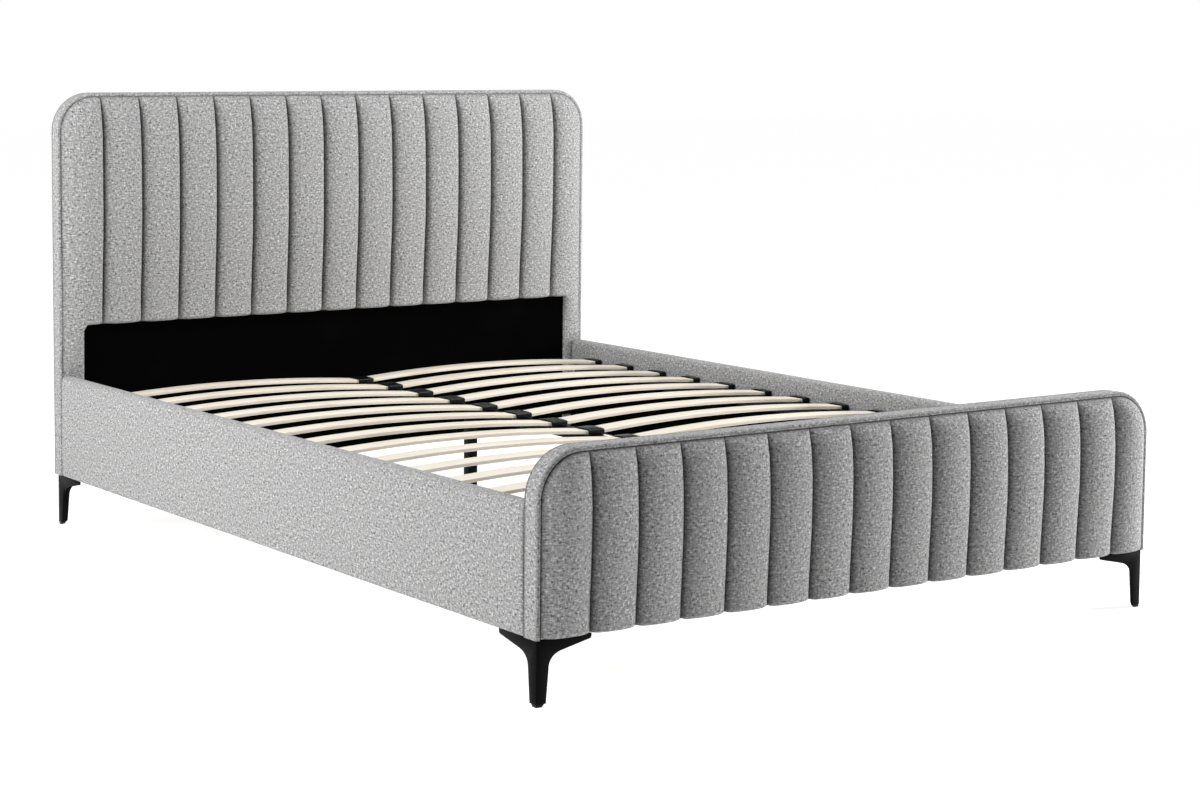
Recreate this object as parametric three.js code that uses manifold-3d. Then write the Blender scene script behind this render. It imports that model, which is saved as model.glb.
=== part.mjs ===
// Upholstered panel bed: channel-padded headboard and footboard, side rails, bowed slats in two columns.
// Millimetres. +Z is up, +Y points to the head end, +X to the right for someone standing at the foot.
// The origin is on the floor, under the middle of the bed.
import * as THREE from "three";
import { mergeVertices } from "three/addons/utils/BufferGeometryUtils.js";
import Module from "manifold-3d";

const wasm = await Module();
wasm.setup();

// ---- Driving dimensions ----
const WIDTH = 1650;
const LENGTH = 2235;
const GAP = 0.3; // clearance between touching pieces

const UPHOLSTERY_BOTTOM = 130;
const RAIL_TOP = 388;
const RAIL_THICKNESS = 38.5;
const RAIL_FOAM = 8; // fabric and foam on the rail's outer face and top
const RAIL_INNER_CLOTH = 3;
const RAIL_ROUNDING = 11;
const HEADBOARD_TOP = 1116;
const FOOTBOARD_TOP = 492;
const CORNER_RADIUS = 100;

const BAND_THICKNESS = 5; // boxing band round a board's edge
const SEAM_INSET = 10; // the band turns onto the front face this far
const LIP = 3; // thickness of that turned lip
const CLOTH = 1.5;
const HEADBOARD_BAND_DEPTH = 38;
const FOOTBOARD_BAND_DEPTH = 44;
const FOOTBOARD_PAD_DEPTH = 35;
const HEADBOARD_PAD_DEPTH = 42;
const CHANNELS = 15;
const CHANNEL_RELIEF = 11; // how far a channel stands above its seams
const PAD_EDGE = 7; // pad thickness at its outer seam

const LINING_TOP = 518;
const SIDE_STRIP = 68; // plain strip beside the lining, from the board's edge
const STRIP_DEPTH = 13;
const STRIP_DEPTH_AT_RAIL = 4;

const SLAT_ROWS = 13;
const SLAT_PITCH = 151.3;
const SLAT_WIDTH = 53;
const SLAT_THICKNESS = 8;
const SLAT_END_TOP = 340;
const SLAT_RISE = 17; // height of the bow at mid-span
const FIRST_SLAT_FROM_HEADBOARD = 127;
const SLAT_INNER_END = 7;
const SLAT_OUTER_END = 780;
const SLAT_STEPS = 12;

const HOLDER_WIDTH = 62;
const HOLDER_BASE = 1.7;
const HOLDER_TOP = 345;
const HOLDER_BOTTOM = 328.3;
const CENTRE_HOLDER_HALF = 22.5;
const CAP_INNER = 765;
const CAP_OUTER = 784.5;
const POCKET_HEIGHT = 10.3;

const CENTRE_RAIL_WIDTH = 40;
const CENTRE_RAIL_HEIGHT = 16;
const CENTRE_RAIL_WALL = 2;
const RAIL_BRACKET_HALF = 32; // half the width of the plate that holds the centre rail
const RAIL_SHELF_HALF = 20;
const RAIL_SHELF_DEPTH = 45;
const SUPPORT_LEG = 25;
const SUPPORT_PLATE_HALF_WIDTH = 30;
const SUPPORT_PLATE_HALF_LENGTH = 20;
const SUPPORT_LEG_BOTTOM = 20;
const SUPPORT_LEG_OFFSET = 387; // each support leg from the slat field's middle
const FOOT_STUD_RADIUS = 4;
const FOOT_BORE_RADIUS = 4.6;
const FOOT_BORE_DEPTH = 50;
const FOOT_PAD_RADIUS = 16;
const FOOT_PAD_HEIGHT = 8.5;
const FOOT_STUD_ENGAGED = 30; // stud length inside the leg

const LEDGE_WIDTH = 40;
const LEDGE_DEPTH = 36;
const STEEL = 3;
const BRACKET_LEG = 62;
const BRACKET_LOW = 170;
const BRACKET_HIGH = 280;
const BOLT_FROM_CORNER = 40;
const BOLT_FROM_EDGE = 25;
const BOLT_HEAD_RADIUS = 5.5;
const BOLT_HEAD_HEIGHT = 4;

const LEG_WING = 128;
const LEG_WALL = 4.5;
const LEG_POST_FOOT = 23;
const LEG_POST_TOP = 29;
const LEG_TIP = 11; // height of the wing's end
const LEG_SCREWS = [[80, 22], [22, 80], [45, 45]];
const LEG_INSET = 5;
const HEAD_LEG_INSET = 12;

// ---- Places worked out from the dimensions ----
const HALF_WIDTH = WIDTH / 2;
const HEAD_BACK = LENGTH / 2;
const HEAD_SEAM = HEAD_BACK - HEADBOARD_BAND_DEPTH;
const FOOT_SEAM = -LENGTH / 2 + FOOTBOARD_PAD_DEPTH;
const FOOT_BACK = FOOT_SEAM + FOOTBOARD_BAND_DEPTH;
const RAIL_FOOT_END = FOOT_BACK + GAP;
const RAIL_HEAD_END = HEAD_SEAM - STRIP_DEPTH_AT_RAIL - GAP;
const RAIL_INNER = HALF_WIDTH - RAIL_THICKNESS;
const FIRST_SLAT = HEAD_SEAM - FIRST_SLAT_FROM_HEADBOARD;
const MIDDLE_OF_SLATS = (HEAD_SEAM + FOOT_BACK) / 2;
const LEDGE_TOP = HOLDER_BOTTOM - GAP;
const CENTRE_RAIL_BOTTOM = LEDGE_TOP - CENTRE_RAIL_HEIGHT;
const LEG_TOP = UPHOLSTERY_BOTTOM - GAP;

// ---- Materials ----
const FABRIC = { color: 0xa9a9a9, roughness: 0.95, metalness: 0 };
const BLACK_CLOTH = { color: 0x050505, roughness: 0.95, metalness: 0 };
const TIMBER = { color: 0xb59a72, roughness: 0.7, metalness: 0 };
const BIRCH = { color: 0xe6dcc4, roughness: 0.5, metalness: 0 };
const BLACK_METAL = { color: 0x0c0c0c, roughness: 0.45, metalness: 0.6 };
const BLACK_PLASTIC = { color: 0x0b0b0b, roughness: 0.5, metalness: 0 };

const bed = new THREE.Group();

function addMesh(name, geometry, finish) {
  const mesh = new THREE.Mesh(geometry, new THREE.MeshStandardMaterial(finish));
  mesh.name = name;
  bed.add(mesh);
  return mesh;
}

// ---- Solids: from three.js geometry to a manifold and back ----
function toSolid(geometry) {
  const bare = geometry.index ? geometry.toNonIndexed() : geometry.clone();
  bare.deleteAttribute("normal");
  bare.deleteAttribute("uv");
  const merged = mergeVertices(bare, 1e-4);
  return new wasm.Manifold(
    new wasm.Mesh({
      numProp: 3,
      vertProperties: merged.attributes.position.array,
      triVerts: new Uint32Array(merged.index.array),
    }),
  );
}

function toGeometry(solid) {
  const mesh = solid.getMesh();
  const geometry = new THREE.BufferGeometry();
  geometry.setAttribute("position", new THREE.BufferAttribute(new Float32Array(mesh.vertProperties), 3));
  geometry.setIndex(new THREE.BufferAttribute(new Uint32Array(mesh.triVerts), 1));
  geometry.computeVertexNormals();
  return geometry;
}

function joined(geometries) {
  const solids = geometries.map(toSolid);
  return toGeometry(solids.slice(1).reduce((sum, solid) => sum.add(solid), solids[0]));
}

function cut(geometry, cutters) {
  return toGeometry(cutters.map(toSolid).reduce((rest, solid) => rest.subtract(solid), toSolid(geometry)));
}

// A box between two corners.
function block(x0, x1, y0, y1, z0, z1) {
  const box = new THREE.BoxGeometry(Math.abs(x1 - x0), Math.abs(y1 - y0), Math.abs(z1 - z0));
  return box.translate((x0 + x1) / 2, (y0 + y1) / 2, (z0 + z1) / 2);
}

// An outline drawn in X and Z, extruded along Y from y0 to y1.
function extrudeAlongY(shape, y0, y1, curveSegments = 8) {
  const solid = new THREE.ExtrudeGeometry(shape, { depth: y1 - y0, bevelEnabled: false, curveSegments });
  return solid.rotateX(Math.PI / 2).translate(0, y1, 0);
}

// An outline drawn in Y and Z, extruded along X from x0 to x1.
function extrudeAlongX(shape, x0, x1, curveSegments = 8) {
  const solid = new THREE.ExtrudeGeometry(shape, { depth: x1 - x0, bevelEnabled: false, curveSegments });
  solid.rotateX(Math.PI / 2).rotateZ(Math.PI / 2);
  return solid.translate(x0, 0, 0);
}

// A board's front outline: straight sides and foot, rounded top corners, drawn in X and Z.
function boardOutline(top, inset, bottom = UPHOLSTERY_BOTTOM) {
  const half = HALF_WIDTH - inset;
  const radius = CORNER_RADIUS - inset;
  const height = top - inset;
  const outline = new THREE.Shape();
  outline.moveTo(-half, bottom);
  outline.lineTo(half, bottom);
  outline.lineTo(half, height - radius);
  outline.absarc(half - radius, height - radius, radius, 0, Math.PI / 2);
  outline.lineTo(-half + radius, height);
  outline.absarc(-half + radius, height - radius, radius, Math.PI / 2, Math.PI);
  outline.lineTo(-half, bottom);
  return outline;
}

// ---- Headboard and footboard ----
// Each board's padded face looks towards -Y from its seam plane.
function boxingBand(name, top, seam, back) {
  const below = UPHOLSTERY_BOTTOM - 1;
  const outer = extrudeAlongY(boardOutline(top, 0), seam, back);
  const opening = extrudeAlongY(boardOutline(top, SEAM_INSET, below), seam - 1, back + 1);
  const pocket = extrudeAlongY(boardOutline(top, BAND_THICKNESS, below), seam + LIP, back + 1);
  addMesh(name, cut(outer, [opening, pocket]), FABRIC);
}

function boardFrame(name, top, seam, back) {
  const inset = BAND_THICKNESS + GAP;
  const outline = boardOutline(top, inset, UPHOLSTERY_BOTTOM + CLOTH);
  addMesh(name, extrudeAlongY(outline, seam + LIP + GAP, back - CLOTH - GAP), TIMBER);
}

function boardBackCloth(name, top, back, finish) {
  const inset = BAND_THICKNESS + GAP;
  const outline = boardOutline(top, inset, UPHOLSTERY_BOTTOM + CLOTH);
  addMesh(name, extrudeAlongY(outline, back - CLOTH, back), finish);
}

// The padding's plan: channels side by side, low at the outer seams and along each seam between them.
function channelPlan(seam, depth) {
  const half = HALF_WIDTH - SEAM_INSET - GAP;
  const pitch = (2 * half) / CHANNELS;
  const valley = depth - CHANNEL_RELIEF;
  const steps = 4;
  const plan = new THREE.Shape();
  plan.moveTo(half, seam + LIP);
  plan.lineTo(-half, seam + LIP);
  for (let channel = 0; channel < CHANNELS; channel += 1) {
    const start = channel === 0 ? PAD_EDGE : valley;
    const end = channel === CHANNELS - 1 ? PAD_EDGE : valley;
    for (let step = channel === 0 ? 0 : 1; step <= steps; step += 1) {
      const t = step / steps;
      const chord = start + (end - start) * t;
      const crown = (depth - Math.max(start, end) + (Math.abs(end - start) / 2)) * Math.sin(Math.PI * t);
      plan.lineTo(-half + pitch * (channel + t), seam - chord - crown);
    }
  }
  plan.closePath();
  return plan;
}

function channelPad(top, seam, depth, bottom) {
  const plan = channelPlan(seam, depth);
  const ribs = new THREE.ExtrudeGeometry(plan, { depth: top - bottom, bevelEnabled: false });
  ribs.translate(0, 0, bottom);
  const outline = boardOutline(top, SEAM_INSET + GAP, bottom);
  const reach = 2 * depth;
  return toSolid(ribs).intersect(toSolid(extrudeAlongY(outline, seam - reach, seam + LIP + 1)));
}

function headboard() {
  boxingBand("headboard_boxing_band", HEADBOARD_TOP, HEAD_SEAM, HEAD_BACK);
  boardFrame("headboard_frame", HEADBOARD_TOP, HEAD_SEAM, HEAD_BACK);
  boardBackCloth("headboard_back_cloth", HEADBOARD_TOP, HEAD_BACK, BLACK_CLOTH);
  let pad = channelPad(HEADBOARD_TOP, HEAD_SEAM, HEADBOARD_PAD_DEPTH, LINING_TOP);
  const outerEdge = HALF_WIDTH - SEAM_INSET - GAP;
  const innerEdge = HALF_WIDTH - SIDE_STRIP;
  for (const side of [-1, 1]) {
    const x0 = side * innerEdge;
    const x1 = side * outerEdge;
    const face = HEAD_SEAM + LIP;
    const upper = block(x0, x1, HEAD_SEAM - STRIP_DEPTH, face, RAIL_TOP + 1, LINING_TOP + 1);
    const lower = block(x0, x1, HEAD_SEAM - STRIP_DEPTH_AT_RAIL, face, UPHOLSTERY_BOTTOM + CLOTH, RAIL_TOP + 2);
    pad = pad.add(toSolid(upper)).add(toSolid(lower));
  }
  addMesh("headboard_channel_pad", toGeometry(pad), FABRIC);
  const lining = innerEdge - GAP;
  const liningFront = HEAD_SEAM - CLOTH;
  const liningBottom = UPHOLSTERY_BOTTOM + CLOTH;
  const face = block(-lining, lining, liningFront, HEAD_SEAM + LIP, liningBottom, LINING_TOP - GAP);
  addMesh("headboard_lining", face, BLACK_CLOTH);
}

function footboard() {
  boxingBand("footboard_boxing_band", FOOTBOARD_TOP, FOOT_SEAM, FOOT_BACK);
  boardFrame("footboard_frame", FOOTBOARD_TOP, FOOT_SEAM, FOOT_BACK);
  boardBackCloth("footboard_inner_cover", FOOTBOARD_TOP, FOOT_BACK, FABRIC);
  const pad = channelPad(FOOTBOARD_TOP, FOOT_SEAM, FOOTBOARD_PAD_DEPTH, UPHOLSTERY_BOTTOM + CLOTH);
  addMesh("footboard_channel_pad", toGeometry(pad), FABRIC);
}

// ---- Side rails ----
// The cover's section: outer wall, rounded top and inner wall, open underneath, drawn in X and Z.
function railCoverSection(side) {
  const outer = side * HALF_WIDTH;
  const inner = side * RAIL_INNER;
  const outerHollow = outer - side * RAIL_FOAM;
  const innerHollow = inner + side * RAIL_INNER_CLOTH;
  const round = RAIL_ROUNDING;
  const section = new THREE.Shape();
  section.moveTo(outer, UPHOLSTERY_BOTTOM);
  section.lineTo(outer, RAIL_TOP - round);
  section.quadraticCurveTo(outer, RAIL_TOP, outer - side * round, RAIL_TOP);
  section.lineTo(inner + side * round, RAIL_TOP);
  section.quadraticCurveTo(inner, RAIL_TOP, inner, RAIL_TOP - round);
  section.lineTo(inner, UPHOLSTERY_BOTTOM);
  section.lineTo(innerHollow, UPHOLSTERY_BOTTOM);
  section.lineTo(innerHollow, RAIL_TOP - RAIL_FOAM);
  section.lineTo(outerHollow, RAIL_TOP - RAIL_FOAM);
  section.lineTo(outerHollow, UPHOLSTERY_BOTTOM);
  section.closePath();
  return section;
}

function sideRail(word, side) {
  const cover = extrudeAlongY(railCoverSection(side), RAIL_FOOT_END, RAIL_HEAD_END, 4);
  addMesh(word + "_rail_cover", cover, FABRIC);
  const boardOuter = side * (HALF_WIDTH - RAIL_FOAM - GAP);
  const boardInner = side * (RAIL_INNER + RAIL_INNER_CLOTH + GAP);
  const boardTop = RAIL_TOP - RAIL_FOAM - GAP;
  const boardBottom = UPHOLSTERY_BOTTOM + CLOTH;
  const board = block(boardInner, boardOuter, RAIL_FOOT_END, RAIL_HEAD_END, boardBottom, boardTop);
  addMesh(word + "_rail_board", board, TIMBER);
}

function slatLedge(word, side) {
  const wall = side * (RAIL_INNER - GAP);
  const start = RAIL_FOOT_END + 20;
  const end = RAIL_HEAD_END - 20;
  const flange = block(wall, wall - side * LEDGE_WIDTH, start, end, LEDGE_TOP - STEEL, LEDGE_TOP);
  const web = block(wall, wall - side * STEEL, start, end, LEDGE_TOP - LEDGE_DEPTH, LEDGE_TOP);
  addMesh(word + "_slat_ledge", joined([flange, web]), BLACK_METAL);
}

// ---- Slats and their holders ----
function slatY(row) {
  return FIRST_SLAT - row * SLAT_PITCH;
}

// A bowed slat's edge, drawn in X and Z: one arc above another, the slat's thickness apart.
function slatSection(side) {
  const middle = (SLAT_INNER_END + SLAT_OUTER_END) / 2;
  const half = (SLAT_OUTER_END - SLAT_INNER_END) / 2;
  const rise = (t) => SLAT_RISE * (1 - t * t);
  const section = new THREE.Shape();
  for (let step = 0; step <= SLAT_STEPS; step += 1) {
    const t = (2 * step) / SLAT_STEPS - 1;
    const x = side * (middle + half * t);
    if (step === 0) section.moveTo(x, SLAT_END_TOP);
    else section.lineTo(x, SLAT_END_TOP + rise(t));
  }
  for (let step = SLAT_STEPS; step >= 0; step -= 1) {
    const t = (2 * step) / SLAT_STEPS - 1;
    section.lineTo(side * (middle + half * t), SLAT_END_TOP - SLAT_THICKNESS + rise(t));
  }
  section.closePath();
  return section;
}

function slats() {
  for (let row = 0; row < SLAT_ROWS; row += 1) {
    for (const [word, side] of [["left", -1], ["right", 1]]) {
      const y = slatY(row);
      const slat = extrudeAlongY(slatSection(side), y - SLAT_WIDTH / 2, y + SLAT_WIDTH / 2);
      addMesh(`${word}_slat_${String(row + 1).padStart(2, "0")}`, slat, BIRCH);
    }
  }
}

function pocket(row, x0, x1) {
  const half = SLAT_WIDTH / 2 + GAP;
  const floor = SLAT_END_TOP - SLAT_THICKNESS - GAP;
  return block(x0, x1, slatY(row) - half, slatY(row) + half, floor, floor + POCKET_HEIGHT);
}

// A run of holders on one thin strip, one holder per slat row.
function holderStrip(name, x0, x1, pocketSpans) {
  const half = HOLDER_WIDTH / 2;
  const start = slatY(SLAT_ROWS - 1) - half;
  const end = slatY(0) + half;
  const bodies = [block(x0, x1, start, end, HOLDER_BOTTOM, HOLDER_BOTTOM + HOLDER_BASE)];
  const pockets = [];
  for (let row = 0; row < SLAT_ROWS; row += 1) {
    bodies.push(block(x0, x1, slatY(row) - half, slatY(row) + half, HOLDER_BOTTOM, HOLDER_TOP));
    for (const [from, to] of pocketSpans) pockets.push(pocket(row, from, to));
  }
  addMesh(name, cut(joined(bodies), pockets), BLACK_PLASTIC);
}

function slatHolders() {
  const mouth = 5; // the pocket cut runs out past the holder's open end
  const endStop = SLAT_OUTER_END + 1;
  const web = SLAT_INNER_END - 1;
  holderStrip("left_slat_caps", -CAP_OUTER, -CAP_INNER, [[-endStop, -CAP_INNER + mouth]]);
  holderStrip("right_slat_caps", CAP_INNER, CAP_OUTER, [[CAP_INNER - mouth, endStop]]);
  const reach = CENTRE_HOLDER_HALF + mouth;
  holderStrip("centre_slat_holders", -CENTRE_HOLDER_HALF, CENTRE_HOLDER_HALF, [[-reach, -web], [web, reach]]);
}

// ---- Centre rail and its supports ----
function centreRail() {
  const half = CENTRE_RAIL_WIDTH / 2;
  const wall = CENTRE_RAIL_WALL;
  const start = FOOT_BACK + GAP + STEEL + 2;
  const end = HEAD_SEAM - CLOTH - GAP - STEEL - 2;
  const bottom = CENTRE_RAIL_BOTTOM;
  const tube = block(-half, half, start, end, bottom, LEDGE_TOP);
  const hollow = block(-half + wall, half - wall, start - 1, end + 1, bottom + wall, LEDGE_TOP - wall);
  addMesh("centre_rail", cut(tube, [hollow]), BLACK_METAL);
}

// A plate screwed to the board, with a shelf under the rail's end. inward points from the board to the bed.
function centreRailBracket(name, face, inward) {
  const half = RAIL_BRACKET_HALF;
  const shelfTop = CENTRE_RAIL_BOTTOM - GAP;
  const shelfBottom = shelfTop - STEEL;
  const near = face + inward * GAP;
  const boltX = half - 8;
  const plate = block(-half, half, near, near + inward * STEEL, shelfTop - 40, shelfTop + 10);
  const shelfEnd = near + inward * RAIL_SHELF_DEPTH;
  const shelf = block(-RAIL_SHELF_HALF, RAIL_SHELF_HALF, near, shelfEnd, shelfBottom, shelfTop);
  const heads = [-boltX, boltX].map((x) => boltHead("y", x, near + inward * STEEL, shelfTop - 25, inward));
  addMesh(name, joined([plate, shelf, ...heads]), BLACK_METAL);
}

// A hexagon bolt head standing on a face, pointing along one axis.
function boltHead(axis, x, y, z, direction) {
  const rooted = BOLT_HEAD_HEIGHT + 1;
  const head = new THREE.CylinderGeometry(BOLT_HEAD_RADIUS, BOLT_HEAD_RADIUS, rooted, 6);
  const middle = (direction * (BOLT_HEAD_HEIGHT - 1)) / 2;
  if (axis === "x") return head.rotateZ(Math.PI / 2).translate(x + middle, y, z);
  if (axis === "z") return head.rotateX(Math.PI / 2).translate(x, y, z + middle);
  return head.translate(x, y + middle, z);
}

function supportLeg(name, y) {
  const half = SUPPORT_LEG / 2;
  const top = CENTRE_RAIL_BOTTOM - GAP;
  const post = block(-half, half, y - half, y + half, SUPPORT_LEG_BOTTOM, top);
  const plateHalf = SUPPORT_PLATE_HALF_LENGTH;
  const plateReach = SUPPORT_PLATE_HALF_WIDTH;
  const plate = block(-plateReach, plateReach, y - plateHalf, y + plateHalf, top - STEEL, top);
  const bore = new THREE.CylinderGeometry(FOOT_BORE_RADIUS, FOOT_BORE_RADIUS, FOOT_BORE_DEPTH + 1, 16);
  bore.rotateX(Math.PI / 2).translate(0, y, SUPPORT_LEG_BOTTOM + (FOOT_BORE_DEPTH - 1) / 2);
  addMesh(name, cut(joined([post, plate]), [bore]), BLACK_METAL);
}

// A round pad with a threaded stud, turned on the leg's axis.
function levellingFoot(name, y) {
  const padRadius = FOOT_PAD_RADIUS;
  const padHeight = FOOT_PAD_HEIGHT;
  const studTop = SUPPORT_LEG_BOTTOM + FOOT_STUD_ENGAGED;
  const profile = [
    new THREE.Vector2(0, 0),
    new THREE.Vector2(padRadius - 1.5, 0),
    new THREE.Vector2(padRadius, 1.5),
    new THREE.Vector2(padRadius, padHeight - 3),
    new THREE.Vector2(padRadius - 5, padHeight),
    new THREE.Vector2(FOOT_STUD_RADIUS, padHeight),
    new THREE.Vector2(FOOT_STUD_RADIUS, studTop),
    new THREE.Vector2(0, studTop),
  ];
  const foot = new THREE.LatheGeometry(profile, 16).rotateX(Math.PI / 2).translate(0, y, 0);
  addMesh(name, toGeometry(toSolid(foot)), BLACK_PLASTIC);
}

function centreSupport() {
  centreRail();
  centreRailBracket("centre_rail_head_bracket", HEAD_SEAM - CLOTH, -1);
  centreRailBracket("centre_rail_foot_bracket", FOOT_BACK, 1);
  for (const [word, direction] of [["head", 1], ["foot", -1]]) {
    const y = MIDDLE_OF_SLATS + direction * SUPPORT_LEG_OFFSET;
    supportLeg(`centre_leg_${word}_side`, y);
    levellingFoot(`levelling_foot_${word}_side`, y);
  }
}

// ---- Corners ----
// A right-angle steel bracket between a rail's inner face and a board's face, with its bolt heads.
function cornerBracket(name, side, face, inward) {
  const reach = BRACKET_LEG;
  const low = BRACKET_LOW;
  const high = BRACKET_HIGH;
  const wall = side * (RAIL_INNER - GAP);
  const boardFace = face + inward * GAP;
  const railSteel = wall - side * STEEL;
  const boardSteel = boardFace + inward * STEEL;
  const onRail = block(wall, railSteel, boardFace, boardFace + inward * reach, low, high);
  const onBoard = block(wall, wall - side * reach, boardFace, boardSteel, low, high);
  const heads = [];
  for (const z of [low + BOLT_FROM_EDGE, high - BOLT_FROM_EDGE]) {
    heads.push(boltHead("x", railSteel, boardFace + inward * BOLT_FROM_CORNER, z, -side));
    heads.push(boltHead("y", wall - side * BOLT_FROM_CORNER, boardSteel, z, inward));
  }
  addMesh(name, joined([onRail, onBoard, ...heads]), BLACK_METAL);
}

// One flat side of a corner leg, drawn from the corner outwards: a tapering post that sweeps into a wing.
function legOutline() {
  const tip = LEG_TIP;
  const outline = new THREE.Shape();
  outline.moveTo(0, 0);
  outline.lineTo(LEG_POST_FOOT, 0);
  outline.lineTo(LEG_POST_TOP, 78);
  outline.quadraticCurveTo(32, 98, 57, 104.5);
  outline.lineTo(LEG_WING - 5, LEG_TOP - tip);
  outline.quadraticCurveTo(LEG_WING, LEG_TOP - tip + 1, LEG_WING, LEG_TOP - tip / 2);
  outline.lineTo(LEG_WING, LEG_TOP);
  outline.lineTo(0, LEG_TOP);
  outline.closePath();
  return outline;
}

// The leg is a right-angle profile: two such sides, and a three-cornered plate under the frame.
// It is drawn from its outer corner towards +X and +Y, and turned to its own corner by scale.
function cornerLeg(name, x, y) {
  const alongX = extrudeAlongY(legOutline(), 0, LEG_WALL, 6);
  const alongY = extrudeAlongX(legOutline(), 0, LEG_WALL, 6);
  const reach = LEG_WING - 8;
  const nose = 16;
  const plateShape = new THREE.Shape();
  plateShape.moveTo(1, 1);
  plateShape.lineTo(reach, 1);
  plateShape.lineTo(reach, nose);
  plateShape.lineTo(nose, reach);
  plateShape.lineTo(1, reach);
  plateShape.closePath();
  const plate = new THREE.ExtrudeGeometry(plateShape, { depth: STEEL, bevelEnabled: false });
  plate.translate(0, 0, LEG_TOP - STEEL);
  const heads = LEG_SCREWS.map(([u, v]) => boltHead("z", u, v, LEG_TOP - STEEL, -1));
  const leg = addMesh(name, joined([alongX, alongY, plate, ...heads]), BLACK_METAL);
  leg.position.set(x, y, 0);
  leg.scale.set(-Math.sign(x), -Math.sign(y), 1);
}

function corners() {
  for (const [word, side] of [["left", -1], ["right", 1]]) {
    const legX = side * (HALF_WIDTH - LEG_INSET);
    cornerLeg(`foot_${word}_leg`, legX, FOOT_SEAM + LEG_INSET);
    cornerLeg(`head_${word}_leg`, legX, HEAD_BACK - HEAD_LEG_INSET);
    cornerBracket(`foot_${word}_corner_bracket`, side, FOOT_BACK, 1);
    cornerBracket(`head_${word}_corner_bracket`, side, HEAD_SEAM - STRIP_DEPTH_AT_RAIL, -1);
  }
}

headboard();
footboard();
sideRail("left", -1);
sideRail("right", 1);
slatLedge("left", -1);
slatLedge("right", 1);
slats();
slatHolders();
centreSupport();
corners();

export default bed;
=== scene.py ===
"""An upholstered bed: channelled headboard and footboard, padded side rails, bowed slats on a steel base.

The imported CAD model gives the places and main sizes. Soft pieces, slats, holders, steel parts and feet are
modelled here over it. The hidden timber keeps its CAD shapes and gets its finish here.
"""

import logging
import math
from dataclasses import dataclass, field
from enum import Enum
from typing import Any, Callable, Iterable, Sequence

import bmesh
import bpy
from bpy.types import Material, Mesh, NodeSocket, Object
from mathutils import Matrix, Vector, noise


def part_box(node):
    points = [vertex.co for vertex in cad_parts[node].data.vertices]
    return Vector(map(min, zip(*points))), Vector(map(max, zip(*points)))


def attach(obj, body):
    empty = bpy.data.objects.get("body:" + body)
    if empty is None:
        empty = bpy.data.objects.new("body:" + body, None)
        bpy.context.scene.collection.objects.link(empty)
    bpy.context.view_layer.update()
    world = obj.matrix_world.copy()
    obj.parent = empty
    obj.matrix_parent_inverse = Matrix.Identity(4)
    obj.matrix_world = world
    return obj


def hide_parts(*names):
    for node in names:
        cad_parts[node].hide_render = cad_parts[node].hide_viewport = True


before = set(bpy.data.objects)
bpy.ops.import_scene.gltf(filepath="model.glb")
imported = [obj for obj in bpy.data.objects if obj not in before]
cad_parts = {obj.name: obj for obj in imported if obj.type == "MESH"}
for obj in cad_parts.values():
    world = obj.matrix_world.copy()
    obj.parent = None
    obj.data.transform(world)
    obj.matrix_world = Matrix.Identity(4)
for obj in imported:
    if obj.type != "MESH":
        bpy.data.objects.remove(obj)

log = logging.getLogger("bed")

MM = 0.001
CLOTH_MAP = "cloth"
# The mesh attribute that carries painted shade along seams, rims and rail ends, and darker lines on the
# boxing band.
SEAM_AND_SHADE_MARK = "seam"
LAYER_MARK = "layer"
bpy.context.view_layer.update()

Colour = tuple[float, float, float]
Place = Callable[[int, int], Vector]


class Side(Enum):
    """The bed's two long sides, with the sign of X on each."""

    LEFT = -1
    RIGHT = 1

    @property
    def word(self) -> str:
        """The side's name as the CAD nodes have it."""
        return self.name.lower()


class End(Enum):
    """The bed's two ends, with the sign of Y at each."""

    FOOT = -1
    HEAD = 1

    @property
    def word(self) -> str:
        """The end's name as the CAD nodes have it."""
        return self.name.lower()


class Slot(Enum):
    """The material slots of the part's record."""

    FABRIC = "grey_fabric"
    BLACK_CLOTH = "black_cloth"
    TIMBER = "frame_timber"
    BIRCH = "birch_plywood"
    METAL = "black_metal"
    PLASTIC = "black_plastic"


# ---- Small sums ----


def smooth_step(value: float, low: float, high: float) -> float:
    """A soft switch.

    Args:
        value: The number tested.
        low: Where the switch starts to leave 0.
        high: Where it reaches 1.

    Returns:
        A number from 0 to 1.
    """
    share = min(max((value - low) / (high - low), 0.0), 1.0)
    return share * share * (3 - 2 * share)


def swell(distance: float, run: float) -> float:
    """How far soft padding has risen at some distance from its sewn edge.

    Args:
        distance: The distance from the edge.
        run: The distance in which it rises by about two thirds.

    Returns:
        A share of the full height, from 0 towards 1.
    """
    return 1 - math.exp(-max(distance, 0.0) / run)


def mixed(low: float, high: float, share: float) -> float:
    """The number that lies a share of the way from low to high."""
    return low + (high - low) * share


# ---- Shader expressions ----


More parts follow.
